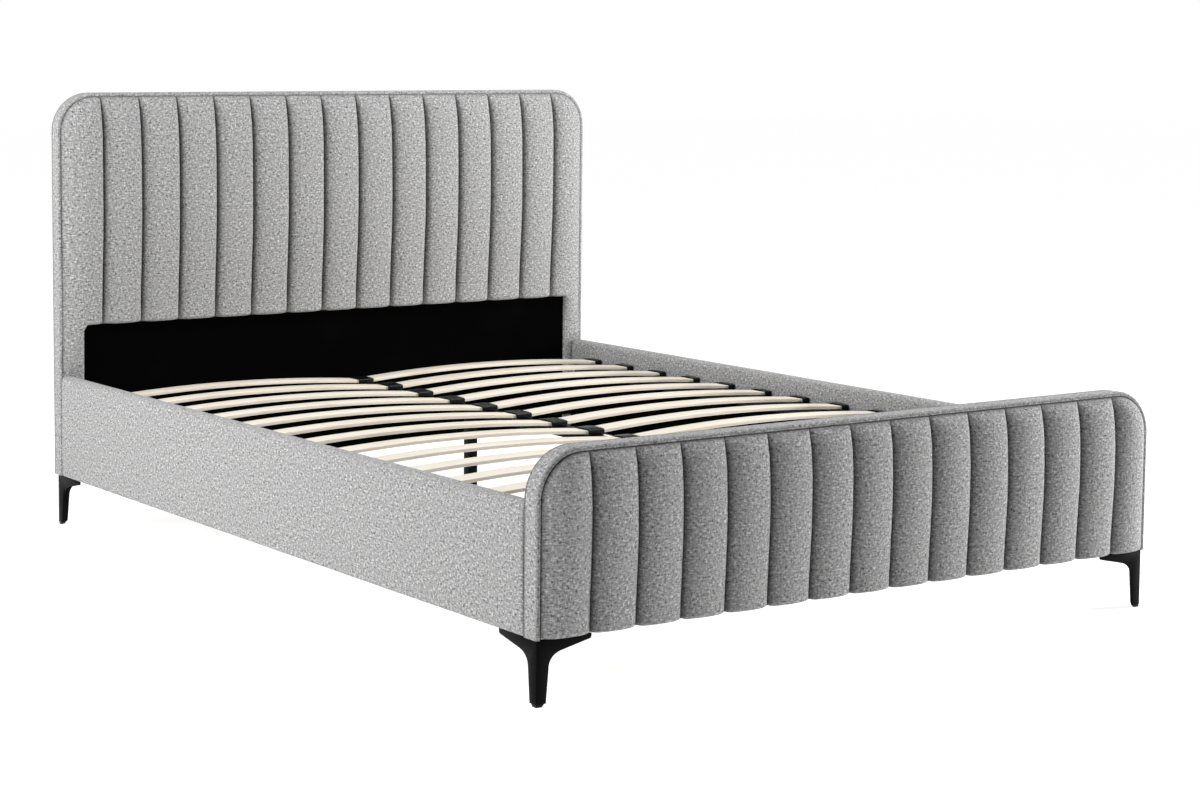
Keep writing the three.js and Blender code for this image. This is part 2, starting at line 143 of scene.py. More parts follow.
class Signal:
    """A shader socket that takes part in Python expressions."""

    def __init__(self, recipe: "Recipe", socket: NodeSocket) -> None:
        """Wraps one output socket of a recipe's node tree."""
        self.recipe = recipe
        self.socket = socket

    def _math(self, operation: str, first: Any, second: Any) -> "Signal":
        """Adds one Math node.

        Args:
            operation: The node's operation.
            first: The first operand, a Signal or a number.
            second: The second operand, a Signal or a number.

        Returns:
            The node's result.
        """
        return self.recipe.node("ShaderNodeMath", {"operation": operation}, {0: first, 1: second})

    def __add__(self, other: Any) -> "Signal":
        """self + other."""
        return self._math("ADD", self, other)

    def __radd__(self, other: Any) -> "Signal":
        """other + self."""
        return self._math("ADD", other, self)

    def __sub__(self, other: Any) -> "Signal":
        """self - other."""
        return self._math("SUBTRACT", self, other)

    def __rsub__(self, other: Any) -> "Signal":
        """other - self."""
        return self._math("SUBTRACT", other, self)

    def __mul__(self, other: Any) -> "Signal":
        """self * other."""
        return self._math("MULTIPLY", self, other)

    def __rmul__(self, other: Any) -> "Signal":
        """other * self."""
        return self._math("MULTIPLY", other, self)

    def wave(self, period: float) -> "Signal":
        """A sine wave along this value, from -1 to 1."""
        return self._math("SINE", self * (2 * math.pi / period), 0.0)


class Recipe:
    """One material's node tree, written as expressions."""

    def __init__(self, name: str) -> None:
        """Starts an empty material.

        Args:
            name: The material's name.
        """
        self.material = bpy.data.materials.new(name)
        self.material.use_nodes = True
        self.tree = self.material.node_tree
        self.tree.nodes.clear()

    def node(
        self,
        kind: str,
        settings: dict[str, Any] | None = None,
        inputs: dict[Any, Any] | None = None,
        out: Any = 0,
    ) -> Signal:
        """Adds a node.

        Args:
            kind: The node's type.
            settings: Its own settings, set first; "stops" fills a colour ramp with (place, colour) pairs.
            inputs: Values or Signals by socket name or number.
            out: The name or number of the output wanted.

        Returns:
            That output.
        """
        made = self.tree.nodes.new(kind)
        for key, value in (settings or {}).items():
            if key == "stops":
                self._fill_ramp(made, value)
            else:
                setattr(made, key, value)
        for key, value in (inputs or {}).items():
            socket = self._socket(made.inputs, key)
            if isinstance(value, Signal):
                self.tree.links.new(value.socket, socket)
            elif socket.type == "RGBA" and len(value) == 3:
                socket.default_value = (*value, 1.0)
            else:
                socket.default_value = value
        return Signal(self, self._socket(made.outputs, out))

    @staticmethod
    def _socket(sockets: Any, key: Any) -> NodeSocket:
        """Finds a socket in use by its number or name."""
        if isinstance(key, int):
            return sockets[key]
        return next(s for s in sockets if s.name == key and s.enabled)

    @staticmethod
    def _fill_ramp(ramp_node: Any, stops: Sequence[tuple[float, Colour]]) -> None:
        """Sets a colour ramp's stops.

        Args:
            ramp_node: The Color Ramp node.
            stops: (place, colour) pairs, in order.
        """
        elements = ramp_node.color_ramp.elements
        while len(elements) < len(stops):
            elements.new(1.0)
        for element, (place, colour) in zip(elements, stops):
            element.position = place
            element.color = (*colour, 1.0)

    def coordinates(self, scale: Sequence[float], source: str = "Object") -> Signal:
        """Object or UV coordinates, scaled.

        Args:
            scale: The Mapping node's scale.
            source: "Object", or "UV" for the cloth map.

        Returns:
            The scaled vector.
        """
        if source == "UV":
            place = self.node("ShaderNodeUVMap", {"uv_map": CLOTH_MAP})
        else:
            place = self.node("ShaderNodeTexCoord", out="Object")
        return self.node("ShaderNodeMapping", inputs={"Vector": place, "Scale": tuple(scale)})

    def grain(self, vector: Signal, detail: float = 2.0, roughness: float = 0.5) -> Signal:
        """Fractal noise from 0 to 1 at the scale of its vector."""
        inputs = {"Vector": vector, "Scale": 1.0, "Detail": detail, "Roughness": roughness}
        return self.node("ShaderNodeTexNoise", inputs=inputs)

    def mark(self, name: str) -> Signal:
        """A number stored on the mesh's points."""
        return self.node("ShaderNodeAttribute", {"attribute_name": name}, out="Fac")

    def blend(self, share: Any, first: Any, second: Any) -> Signal:
        """Mixes two colours.

        Args:
            share: The factor, a Signal or a number.
            first: The colour at 0.
            second: The colour at 1.

        Returns:
            The mixed colour.
        """
        return self.node(
            "ShaderNodeMix",
            {"data_type": "RGBA", "blend_type": "MIX", "clamp_factor": True},
            {"Factor": share, "A": first, "B": second},
            out="Result",
        )

    def ramp(self, value: Signal, stops: Sequence[tuple[float, Colour]]) -> Signal:
        """A colour ramp along a value."""
        return self.node("ShaderNodeValToRGB", {"stops": stops}, {"Fac": value})

    def switch(self, value: Signal, low: float, high: float) -> Signal:
        """A soft 0 to 1 step between two values."""
        inputs = {"Value": value, "From Min": low, "From Max": high}
        return self.node("ShaderNodeMapRange", {"interpolation_type": "SMOOTHSTEP"}, inputs)

    def bump(self, height: Signal, depth: float) -> Signal:
        """A normal roughened by a height from 0 to 1, depth metres deep."""
        return self.node("ShaderNodeBump", inputs={"Height": height, "Distance": depth, "Strength": 1.0})

    def finish(
        self,
        colour: Any,
        roughness: Any,
        normal: Signal,
        constants: dict[str, Any] | None = None,
    ) -> Material:
        """Ends the material in one Principled shader.

        Args:
            colour: The base colour.
            roughness: The roughness.
            normal: The bumped normal.
            constants: The shader's other sockets, each the same all over.

        Returns:
            The finished material.
        """
        inputs = {"Base Color": colour, "Roughness": roughness, "Normal": normal, **(constants or {})}
        shader = self.node("ShaderNodeBsdfPrincipled", inputs=inputs)
        self.node_output(shader)
        return self.material

    def node_output(self, shader: Signal) -> None:
        """Links a shader to the material's output."""
        output = self.tree.nodes.new("ShaderNodeOutputMaterial")
        self.tree.links.new(shader.socket, output.inputs["Surface"])


# ---- Finishes ----


@dataclass(frozen=True)
class MelangeFabric:
    """A flat-woven upholstery fabric of mixed light and dark grey yarn."""

    name: str = "melange_fabric"
    light: Colour = (0.52, 0.52, 0.518)
    middle: Colour = (0.255, 0.255, 0.254)
    dark: Colour = (0.065, 0.065, 0.066)
    # The near-black colour that the seam mark blends in as painted shade.
    seam: Colour = (0.012, 0.012, 0.012)
    thread: float = 1.5 * MM
    weave_depth: float = 0.35 * MM

    def build(self) -> Material:
        """Writes the yarn flecks, the cloudy dye, the weave and the seam mark's painted shade."""
        r = Recipe(self.name)
        weft = r.grain(r.coordinates((110, 300, 1), "UV"), 2.0, 0.6)
        warp = r.grain(r.coordinates((310, 115, 1), "UV"), 2.0, 0.6)
        slub = r.grain(r.coordinates((170, 170, 1), "UV"), 3.0, 0.65)
        cloud = r.grain(r.coordinates((9, 9, 1), "UV"), 3.0)
        fleck = weft * 0.36 + warp * 0.29 + slub * 0.35
        stops = ((0.4, self.dark), (0.48, self.middle), (0.52, self.middle), (0.6, self.light))
        yarn = r.ramp(fleck, stops)
        dyed = r.blend(r.switch(cloud, 0.3, 0.7) * 0.1, yarn, self.middle)
        # Painted shade: the seam mark blends the fabric towards the near-black seam colour.
        colour = r.blend(r.mark(SEAM_AND_SHADE_MARK) * 0.93, dyed, self.seam)
        place = r.node("ShaderNodeSeparateXYZ", inputs={0: r.coordinates((1, 1, 1), "UV")}, out="X")
        height = r.node("ShaderNodeSeparateXYZ", inputs={0: r.coordinates((1, 1, 1), "UV")}, out="Y")
        weave = place.wave(self.thread) * height.wave(self.thread) * 0.25 + fleck
        woven = r.bump(weave, self.weave_depth)
        constants = {"Sheen Weight": 0.08, "Sheen Roughness": 0.5, "Specular IOR Level": 0.15}
        return r.finish(colour, 0.86 + cloud * 0.12, woven, constants)


@dataclass(frozen=True)
class BlackCloth:
    """A thin black spunbond lining with its pattern of pressed points."""

    name: str = "black_lining_cloth"
    base: Colour = (0.0008, 0.0008, 0.0008)
    worn: Colour = (0.0028, 0.0028, 0.0029)
    point_pitch: float = 2.4 * MM

    def build(self) -> Material:
        """Writes the fibres, the pressed points and a little dust."""
        r = Recipe(self.name)
        fibre = r.grain(r.coordinates((900, 900, 900)), 3.0, 0.7)
        dust = r.grain(r.coordinates((6, 6, 6)), 4.0)
        place = r.coordinates((1, 1, 1), "UV")
        x = r.node("ShaderNodeSeparateXYZ", inputs={0: place}, out="X")
        y = r.node("ShaderNodeSeparateXYZ", inputs={0: place}, out="Y")
        points = r.switch(x.wave(self.point_pitch) * y.wave(self.point_pitch), 0.35, 0.8)
        colour = r.blend(fibre * 0.5 + r.switch(dust, 0.5, 0.8) * 0.3, self.base, self.worn)
        surface = r.bump(fibre * 0.6 - points * 0.4, 0.2 * MM)
        return r.finish(colour, 0.9 - points * 0.15, surface, {"Specular IOR Level": 0.0})


@dataclass(frozen=True)
class BirchPly:
    """Bent birch plywood: pale faces with fine grain, and layered edges."""

    name: str = "birch_plywood"
    face: Colour = (0.67, 0.63, 0.545)
    streak: Colour = (0.52, 0.455, 0.355)
    glue: Colour = (0.30, 0.215, 0.14)
    layer: float = 1.35 * MM
    half_thickness: float = 4 * MM

    def build(self) -> Material:
        """Writes the grain, the flecks and the glue lines on the edges."""
        r = Recipe(self.name)
        board = r.grain(r.coordinates((1.5, 6, 6)), 2.0)
        grain = r.grain(r.coordinates((9, 260, 120)), 4.0, 0.65)
        pore = r.grain(r.coordinates((70, 1500, 900)), 2.0, 0.6)
        streaks = r.switch(grain + board * 0.5, 0.66, 1.0)
        wood = r.blend(streaks * 0.75, self.face, self.streak)
        fine = r.blend(r.switch(pore, 0.56, 0.75) * 0.3, wood, self.streak)
        depth = r.mark(LAYER_MARK)
        from_middle = (self.half_thickness * 0.78) ** 2
        to_face = (self.half_thickness * 0.9) ** 2
        inside = 1 - r.switch(depth * depth, from_middle, to_face)
        lines = r.switch(depth.wave(self.layer) + grain * 0.3, 0.1, 0.95) * inside
        colour = r.blend(lines * 0.62, fine, self.glue)
        surface = r.bump(grain * 0.6 + pore * 0.4, 0.12 * MM)
        return r.finish(colour, 0.42 + grain * 0.16, surface, {"Specular IOR Level": 0.45})


@dataclass(frozen=True)
class PowderCoat:
    """Satin black powder coat on steel."""

    name: str = "black_powder_coat"
    base: Colour = (0.0012, 0.0012, 0.0012)
    scuffed: Colour = (0.0055, 0.0054, 0.0053)
    peel: float = 0.12 * MM

    def build(self) -> Material:
        """Writes the orange peel, light scuffs and the satin gloss."""
        r = Recipe(self.name)
        peel = r.grain(r.coordinates((420, 420, 420)), 2.0)
        smear = r.grain(r.coordinates((14, 14, 30)), 4.0, 0.6)
        scuff = r.switch(r.grain(r.coordinates((60, 60, 18)), 5.0, 0.7), 0.63, 0.76)
        colour = r.blend(scuff * 0.5, self.base, self.scuffed)
        roughness = 0.36 + smear * 0.14 + scuff * 0.1
        return r.finish(colour, roughness, r.bump(peel, self.peel), {"Specular IOR Level": 0.05})


@dataclass(frozen=True)
class MouldedPlastic:
    """Black moulded nylon, smooth with a faint texture."""

    name: str = "black_moulded_plastic"
    base: Colour = (0.0025, 0.0025, 0.0027)
    rubbed: Colour = (0.011, 0.011, 0.0115)

    def build(self) -> Material:
        """Writes the moulding's fine grain, rubbed patches and gloss."""
        r = Recipe(self.name)
        fine = r.grain(r.coordinates((1300, 1300, 1300)), 2.0)
        patch = r.grain(r.coordinates((40, 40, 40)), 4.0, 0.6)
        colour = r.blend(r.switch(patch, 0.55, 0.8) * 0.4, self.base, self.rubbed)
        return r.finish(colour, 0.22 + patch * 0.14, r.bump(fine, 0.05 * MM), {"Specular IOR Level": 0.16})


@dataclass(frozen=True)
class SawnTimber:
    """Planed softwood and board for the hidden frames."""

    name: str = "frame_timber"
    early: Colour = (0.56, 0.42, 0.27)
    late: Colour = (0.33, 0.21, 0.115)

    def build(self) -> Material:
        """Writes growth rings, knots' clouds and saw marks."""
        r = Recipe(self.name)
        drift = r.grain(r.coordinates((2, 8, 8)), 2.0)
        ring = r.grain(r.coordinates((5, 45, 60)), 3.0, 0.6)
        saw = r.grain(r.coordinates((500, 20, 20)), 2.0)
        colour = r.blend(r.switch(ring + drift * 0.4, 0.5, 0.95), self.early, self.late)
        return r.finish(colour, 0.62 + ring * 0.2, r.bump(ring * 0.5 + saw * 0.5, 0.2 * MM))


@dataclass(frozen=True)
class StudioFloor:
    """Seamless pale paper."""

    name: str = "studio_paper"
    base: Colour = (0.52, 0.52, 0.52)
    glow: float = 0.7

    def build(self) -> Material:
        """Writes a matt, almost even white."""
        r = Recipe(self.name)
        tooth = r.grain(r.coordinates((40, 40, 40)), 3.0)
        white = (1.0, 1.0, 1.0)
        constants = {"Specular IOR Level": 0.0, "Emission Color": white, "Emission Strength": self.glow}
        return r.finish(self.base, 0.92 + tooth * 0.05, r.bump(tooth, 0.1 * MM), constants)


# ---- Mesh tools ----


def shaped_grid(columns: int, rows: int, place: Place) -> bmesh.types.BMesh:
    """A sheet of quads, each corner put where a rule says.

    Args:
        columns: How many columns of corners.
        rows: How many rows of corners.
        place: Gives a corner's position from its column and row.

    Returns:
        The open sheet.
    """
    bm = bmesh.new()
    bmesh.ops.create_grid(bm, x_segments=columns - 1, y_segments=rows - 1, size=0.5)
    for vert in bm.verts:
        column = round((vert.co.x + 0.5) * (columns - 1))
        row = round((vert.co.y + 0.5) * (rows - 1))
        vert.co = place(column, row)
    return bm


def backed(bm: bmesh.types.BMesh, offset: Callable[[Vector], Vector]) -> None:
    """Closes a sheet into a solid by carrying its rim back and filling it.

    Args:
        bm: The sheet.
        offset: Gives the place behind each point of the rim.
    """
    rim = [edge for edge in bm.edges if edge.is_boundary]
    made = bmesh.ops.extrude_edge_only(bm, edges=rim)["geom"]
    for vert in [g for g in made if isinstance(g, bmesh.types.BMVert)]:
        vert.co = offset(vert.co)
    bmesh.ops.holes_fill(bm, edges=[edge for edge in bm.edges if edge.is_boundary], sides=0)


def swept(outline: Sequence[Vector], stations: Sequence[Matrix]) -> bmesh.types.BMesh:
    """A closed outline carried through a row of stations, capped at both ends.

    Args:
        outline: The outline's corners in a station's own axes.
        stations: Where the outline is put, one after another.

    Returns:
        The closed solid.
    """
    bm = bmesh.new()
    face = bm.faces.new([bm.verts.new(stations[0] @ point) for point in outline])
    for before, after in zip(stations, stations[1:]):
        made = bmesh.ops.extrude_face_region(bm, geom=[face])["geom"]
        face = next(g for g in made if isinstance(g, bmesh.types.BMFace))
        bmesh.ops.transform(bm, matrix=after @ before.inverted(), verts=face.verts)
    return bm


def rings_joined(rings: Sequence[Sequence[Vector]]) -> bmesh.types.BMesh:
    """Closed rings of as many corners each, bridged in order, the first and last filled.

    Args:
        rings: The rings' corners.

    Returns:
        The closed solid.
    """
    bm = bmesh.new()
    loops = []
    for ring in rings:
        verts = [bm.verts.new(point) for point in ring]
        loops.append([bm.edges.new((a, b)) for a, b in zip(verts, verts[1:] + verts[:1])])
    for first, second in zip(loops, loops[1:]):
        bmesh.ops.bridge_loops(bm, edges=first + second)
    bmesh.ops.holes_fill(bm, edges=loops[0] + loops[-1], sides=0)
    return bm


def turned(profile: Sequence[Vector], axis_at: Vector, steps: int = 40) -> bmesh.types.BMesh:
    """A profile spun about a vertical axis.

    Args:
        profile: Points (radius, 0, height), from the axis round to the axis.
        axis_at: A point on the axis.
        steps: How many faces round.

    Returns:
        The closed solid.
    """
    bm = bmesh.new()
    verts = [bm.verts.new(axis_at + point) for point in profile]
    edges = [bm.edges.new(pair) for pair in zip(verts, verts[1:])]
    bmesh.ops.spin(
        bm, geom=verts + edges, cent=axis_at, axis=(0, 0, 1), angle=2 * math.pi, steps=steps, use_merge=True
    )
    bmesh.ops.remove_doubles(bm, verts=bm.verts, dist=0.01 * MM)
    return bm


def softened(node: str, width: float, segments: int = 2) -> bmesh.types.BMesh:
    """A copy of a CAD node with its sharp edges rounded.

    Args:
        node: The CAD node.
        width: The rounding's width.
        segments: How many faces round each edge.

    Returns:
        The closed solid.
    """
    sharp = math.radians(35)
    bm = bmesh.new()
    bm.from_mesh(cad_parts[node].data)
    bmesh.ops.remove_doubles(bm, verts=bm.verts, dist=0.01 * MM)
    bmesh.ops.dissolve_limit(bm, angle_limit=math.radians(0.5), verts=bm.verts, edges=bm.edges)
    edges = [edge for edge in bm.edges if edge.is_manifold and edge.calc_face_angle(0) > sharp]
    bmesh.ops.bevel(
        bm,
        geom=edges,
        offset=width,
        segments=segments,
        profile=0.5,
        affect="EDGES",
        material=-1,
        clamp_overlap=True,
    )
    return bm


def joined(parts: Iterable[bmesh.types.BMesh]) -> bmesh.types.BMesh:
    """Several solids in one mesh."""
    bm = bmesh.new()
    for part in parts:
        mesh = bpy.data.meshes.new("part")
        part.to_mesh(mesh)
        part.free()
        bm.from_mesh(mesh)
        bpy.data.meshes.remove(mesh)
    return bm


def lay_cloth_map(bm: bmesh.types.BMesh) -> None:
    """Gives each face a map in metres, laid flat along the axis that it faces."""
    layer = bm.loops.layers.uv.new(CLOTH_MAP)
    for face in bm.faces:
        facing = [abs(component) for component in face.normal]
        flat = facing.index(max(facing))
        across, along = ((1, 2), (0, 2), (0, 1))[flat]
        for loop in face.loops:
            loop[layer].uv = (loop.vert.co[across], loop.vert.co[along])


@dataclass
class Workshop:
    """Turns meshes into finished pieces of the bed, and keeps one material for each slot."""

    materials: dict[Slot, Material] = field(default_factory=dict)
    back_cloth: Material | None = None
    shown: int = 0

    def stock(self) -> None:
        """Makes the materials."""
        back = BlackCloth("black_back_cloth", base=(0.011, 0.011, 0.0112), worn=(0.032, 0.032, 0.033))
        self.back_cloth = back.build()
        self.materials = {
            Slot.FABRIC: MelangeFabric().build(),
            Slot.BLACK_CLOTH: BlackCloth().build(),
            Slot.TIMBER: SawnTimber().build(),
            Slot.BIRCH: BirchPly().build(),
            Slot.METAL: PowderCoat().build(),
            Slot.PLASTIC: MouldedPlastic().build(),
        }

    def dress(self, node: str, slot: Slot) -> None:
        """Gives a CAD node that stays in view its finish."""
        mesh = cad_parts[node].data
        mesh.materials.clear()
        mesh.materials.append(self.materials[slot])

    def piece(
        self,
        name: str,
        bm: bmesh.types.BMesh,
        slot: Slot,
        replaces: Sequence[str] = (),
        body: str = "bed",
        crease: float = 40,
    ) -> Object:
        """Finishes a mesh as a piece of the bed.

        Args:
            name: The piece's name.
            bm: Its mesh, which is freed.
            slot: The material slot it takes its finish from.
            replaces: The CAD nodes that it stands for.
            body: The CAD body that it rides on.
            crease: The angle in degrees past which an edge looks sharp.

        Returns:
            The piece.
        """
        bmesh.ops.recalc_face_normals(bm, faces=bm.faces)
        bm.normal_update()
        lay_cloth_map(bm)
        mesh: Mesh = bpy.data.meshes.new(name)
        bm.to_mesh(mesh)
        bm.free()
        mesh.polygons.foreach_set("use_smooth", [True] * len(mesh.polygons))
        mesh.set_sharp_from_angle(angle=math.radians(crease))
        mesh.materials.append(self.materials[slot])
        piece = bpy.data.objects.new(name, mesh)
        bpy.context.scene.collection.objects.link(piece)
        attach(piece, body)
        if replaces:
            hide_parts(*replaces)
        self.shown += 1
        log.info("%s: %d faces, %s", name, len(mesh.polygons), slot.value)
        return piece

    def steel(self, name: str, node: str, width: float, segments: int) -> Object:
        """Makes a steel piece from a CAD node, with its edges softened.

        Args:
            name: The piece's name.
            node: The CAD node that it stands for.
            width: The width of the softened edges.
            segments: How many faces round each edge.

        Returns:
            The piece.
        """
        return self.piece(name, softened(node, width, segments), Slot.METAL, [node], crease=38)


# ---- Headboard and footboard ----


@dataclass
class ChannelledBoard:
    """An upright board with a channelled pad in front, a boxing band round its edge and cloth behind.

    The seam mark paints shade into the fabric along every sewn line and round the pad's rim. Right of each
    channel seam it also carries a wide painted shade, which doesn't follow the lights.
    """

    end: End
    shop: Workshop
    valley: float
    crown_run: float
    foot_share: float
    foot_run: float
    rows: int
    channels: int = 15
    relief: float = 13 * MM
    edge_run: float = 9 * MM
    crease: float = 9 * MM
    crease_run: float = 4.5 * MM
    roll: float = 8 * MM
    strip_depth: float = 12 * MM
    strip_depth_at_rail: float = 3.7 * MM
    radius: float = 100 * MM
    band_wall: float = 5 * MM
    lip: float = 3 * MM
    seam_half: float = 1.3 * MM
    pucker: float = 0.9 * MM
    sag: float = 1.3 * MM
    notch: float = 4.5 * MM
    notch_height: float = 40 * MM
    band_round: float = 5.2 * MM
    # Painted shade of the seam mark: its run at the seams and rim, its strength and run right of each seam,
    # its strength at the rim.
    seam_fade: float = 2.8 * MM
    shade: float = 0.62
    shade_run: float = 17 * MM
    rim: float = 1.0

    def __post_init__(self) -> None:
        """Reads the board's places from the frame."""
        word = self.word
        band_low, band_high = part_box(f"{word}_boxing_band")
        pad_low, pad_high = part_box(f"{word}_channel_pad")
        self.seam, self.back = band_low.y, band_high.y
        self.half, self.top, self.bottom = band_high.x, band_high.z, band_low.z
        self.pad_half, self.pad_top, self.pad_bottom = pad_high.x, pad_high.z, pad_low.z
        self.pad_radius = self.radius - (self.half - self.pad_half)
        self.front_bottom = self.pad_bottom
        self.strip_edge = 0.0
        if self.end is End.HEAD:
            _, lining_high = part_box("headboard_lining")
            self.front_bottom = lining_high.z + 0.3 * MM
            self.strip_edge = lining_high.x + 0.3 * MM
        self.columns = self._column_places()
        self.heights = self._row_shares()

    @property
    def word(self) -> str:
        """The board's name."""
        return f"{self.end.word}board"

    def _column_places(self) -> list[tuple[float, float]]:
        """Where the pad's columns run.

        Returns:
            (x, share across its channel) for each column, from left to right.
        """
        pitch = 2 * self.pad_half / self.channels
        near = self.seam_half / pitch
        shares = [0, near, 0.035, 0.075, 0.13, 0.2, 0.29, 0.39, 0.5]
        shares += [0.61, 0.71, 0.8, 0.87, 0.925, 0.965, 1 - near]
        places = []
        for channel in range(self.channels):
            start = -self.pad_half + pitch * channel
            places += [(start + pitch * share, share) for share in shares]
        places.append((self.pad_half, 1.0))
        if self.strip_edge:
            share = (self.pad_half - self.strip_edge) / pitch
            places.append((-self.strip_edge, share))
            places.append((self.strip_edge, 1 - share))
        places += self._corner_columns(pitch)
        return sorted(places)

    def _corner_columns(self, pitch: float) -> list[tuple[float, float]]:
        """More columns close to each side, where the outline turns steeply."""
        extra = []
        for distance in (0.5 * MM, 2.6 * MM):
            share = distance / pitch
            extra.append((-self.pad_half + distance, share))
            extra.append((self.pad_half - distance, 1 - share))
        return extra

    def _row_shares(self) -> list[float]:
        """Where the pad's rows run.

        Returns:
            A number for each row: from -1 to 0 beside the lining, and from 0 to 1 over the channels.
        """
        steps = self.rows - 1
        upper = [mixed(i / steps, (1 - math.cos(math.pi * i / steps)) / 2, 0.75) for i in range(self.rows)]
        if not self.strip_edge:
            return upper
        beside = 26
        return [i / beside - 1 for i in range(beside)] + upper

    def outline_top(self, x: float) -> float:
        """The height of the pad's outline above a place across the board."""
        into_corner = max(abs(x) - (self.pad_half - self.pad_radius), 0.0)
        drop = self.pad_radius - math.sqrt(max(self.pad_radius**2 - into_corner**2, 0.0))
        return self.pad_top - drop

    def edge_distance(self, x: float, z: float) -> float:
        """How far a point lies inside the pad's sides and top."""
        corner_x = abs(x) - (self.pad_half - self.pad_radius)
        corner_z = z - (self.pad_top - self.pad_radius)
        if corner_x > 0 and corner_z > 0:
            return self.pad_radius - math.hypot(corner_x, corner_z)
        return min(self.pad_half - abs(x), self.pad_top - z)

    def padding(self, x: float, z: float, share: float) -> float:
        """How far the padding stands in front of the seam.

        Args:
            x: The place across the board.
            z: The height.
            share: The share across its channel.

        Returns:
            The depth in metres.
        """
        inside = self.edge_distance(x, z)
        above_foot = smooth_step(z, self.front_bottom, self.front_bottom + self.foot_run)
        foot = mixed(self.foot_share, 1.0, above_foot)
        crown = self.valley * swell(inside, self.crown_run) * foot
        arch = (1 - abs(2 * share - 1) ** 2.0) ** 0.68
        channel = self.relief * arch * swell(inside, self.edge_run) * mixed(0.8, 1.0, foot)
        to_seam = min(share, 1 - share)
        gathers = noise.noise(Vector((x * 9, z * 55, 3.1)))
        pucker = self.pucker * math.exp(-to_seam * 9) * gathers * swell(inside, 0.01)
        sag = self.sag * noise.noise(Vector((x * 7, z * 4.5, 7.7))) * swell(inside, 0.03)
        aside = to_seam * 2 * self.pad_half / self.channels
        cut = self.crease * math.exp(-aside / self.crease_run) * swell(inside - 4 * MM, 25 * MM)
        outer = abs(x) > self.pad_half * (1 - 1 / self.channels)
        if outer and (share < 0.5) == (x < 0):
            cut = 0.0
        return max(crown + channel - cut, 0.0) + (pucker if 0 < share < 1 else 0.0) + sag

    def strip_padding(self, x: float, z: float) -> float:
        """How far the plain strip beside the lining stands out, at a place across and up it."""
        rail_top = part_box("left_rail_cover")[1].z
        above_rail = smooth_step(z, rail_top + 4 * MM, rail_top + 16 * MM)
        depth = mixed(self.strip_depth_at_rail, self.strip_depth, above_rail)
        outer = swell(self.pad_half - abs(x), 5 * MM)
        inner = swell(abs(x) - self.strip_edge + 0.6 * MM, 4 * MM)
        return depth * outer * inner

    def place(self, column: int, row: int) -> Vector:
        """The pad's rule: where the corner in some column and row lies."""
        x, share = self.columns[column]
        level = self.heights[row]
        if level < 0:
            z = mixed(self.front_bottom, self.pad_bottom, -level)
            strip = self.strip_padding(x, z)
            joint = smooth_step(z, self.front_bottom - 0.09, self.front_bottom + 0.0001)
            beside = swell(abs(x) - self.strip_edge + 1 * MM, 6 * MM)
            full = self.padding(x, self.front_bottom, share) * beside
            return Vector((x, self.seam - mixed(strip, full, joint), z))
        z = mixed(self.front_bottom, self.outline_top(x), level)
        depth = self.padding(x, z, share)
        above = z - self.front_bottom
        carried = abs(x) > self.strip_edge - 0.1 * MM and self.strip_edge > 0
        if above < self.roll and not carried:
            turn = math.sqrt(max(1 - (1 - above / self.roll) ** 2, 0.0))
            depth *= mixed(0.5, 1.0, turn)
        at_seam = math.exp(-min(share, 1 - share) * 14)
        notch = self.notch * at_seam * (1 - smooth_step(above, 0, self.notch_height))
        if not carried and abs(x) < self.pad_half - 1 * MM:
            z += notch
        return Vector((x, self.seam - depth, z))

    def pad(self) -> Object:
        """Builds the channelled pad."""
        bm = shaped_grid(len(self.columns), len(self.heights), self.place)
        if self.strip_edge:
            middles = [(face, face.calc_center_median()) for face in bm.faces]
            low_edge = self.front_bottom
            inside = [face for face, at in middles if abs(at.x) < self.strip_edge and at.z < low_edge]
            bmesh.ops.delete(bm, geom=inside, context="FACES")
        self._mark_seams(bm)
        behind = self.seam + self.lip - 0.3 * MM
        backed(bm, lambda point: Vector((point.x, behind, point.z)))
        node = f"{self.word}_channel_pad"
        pad = self.shop.piece(f"{self.word}_padding", bm, Slot.FABRIC, [node], crease=75)
        return pad

    def _mark_seams(self, bm: bmesh.types.BMesh) -> None:
        """Marks painted shade on the mesh's points: along the sewn lines, round the pad's rim and right of
        each seam.
        """
        mark = bm.verts.layers.float.new(SEAM_AND_SHADE_MARK)
        pitch = 2 * self.pad_half / self.channels
        for vert in bm.verts:
            place = (vert.co.x + self.pad_half) / pitch
            aside = abs(place - round(place)) * pitch
            over_foot = vert.co.z > self.front_bottom - 1 * MM
            between = 0.5 < place < self.channels - 0.5 and over_foot
            rightward = place > round(place)
            # Painted shade in each seam's groove, wider on its right; further right, a wide painted shade.
            sewn = math.exp(-aside / (self.seam_fade if rightward else 0.7 * self.seam_fade))
            shaded = self.shade * math.exp(-aside / self.shade_run) if rightward else 0.0
            inside = max(self.edge_distance(vert.co.x, vert.co.z), 0.0)
            shaded *= smooth_step(inside, 0, 40 * MM)
            seen = sewn + shaded * (1 - sewn) if between else 0.0
            if self.end is End.HEAD:
                fading = smooth_step(vert.co.z, self.front_bottom, self.front_bottom + 60 * MM)
                seen *= mixed(0.3, 1.0, fading)
            # Painted shade round the pad's rim.
            vert[mark] = max(seen, self.rim * math.exp(-inside / self.seam_fade))

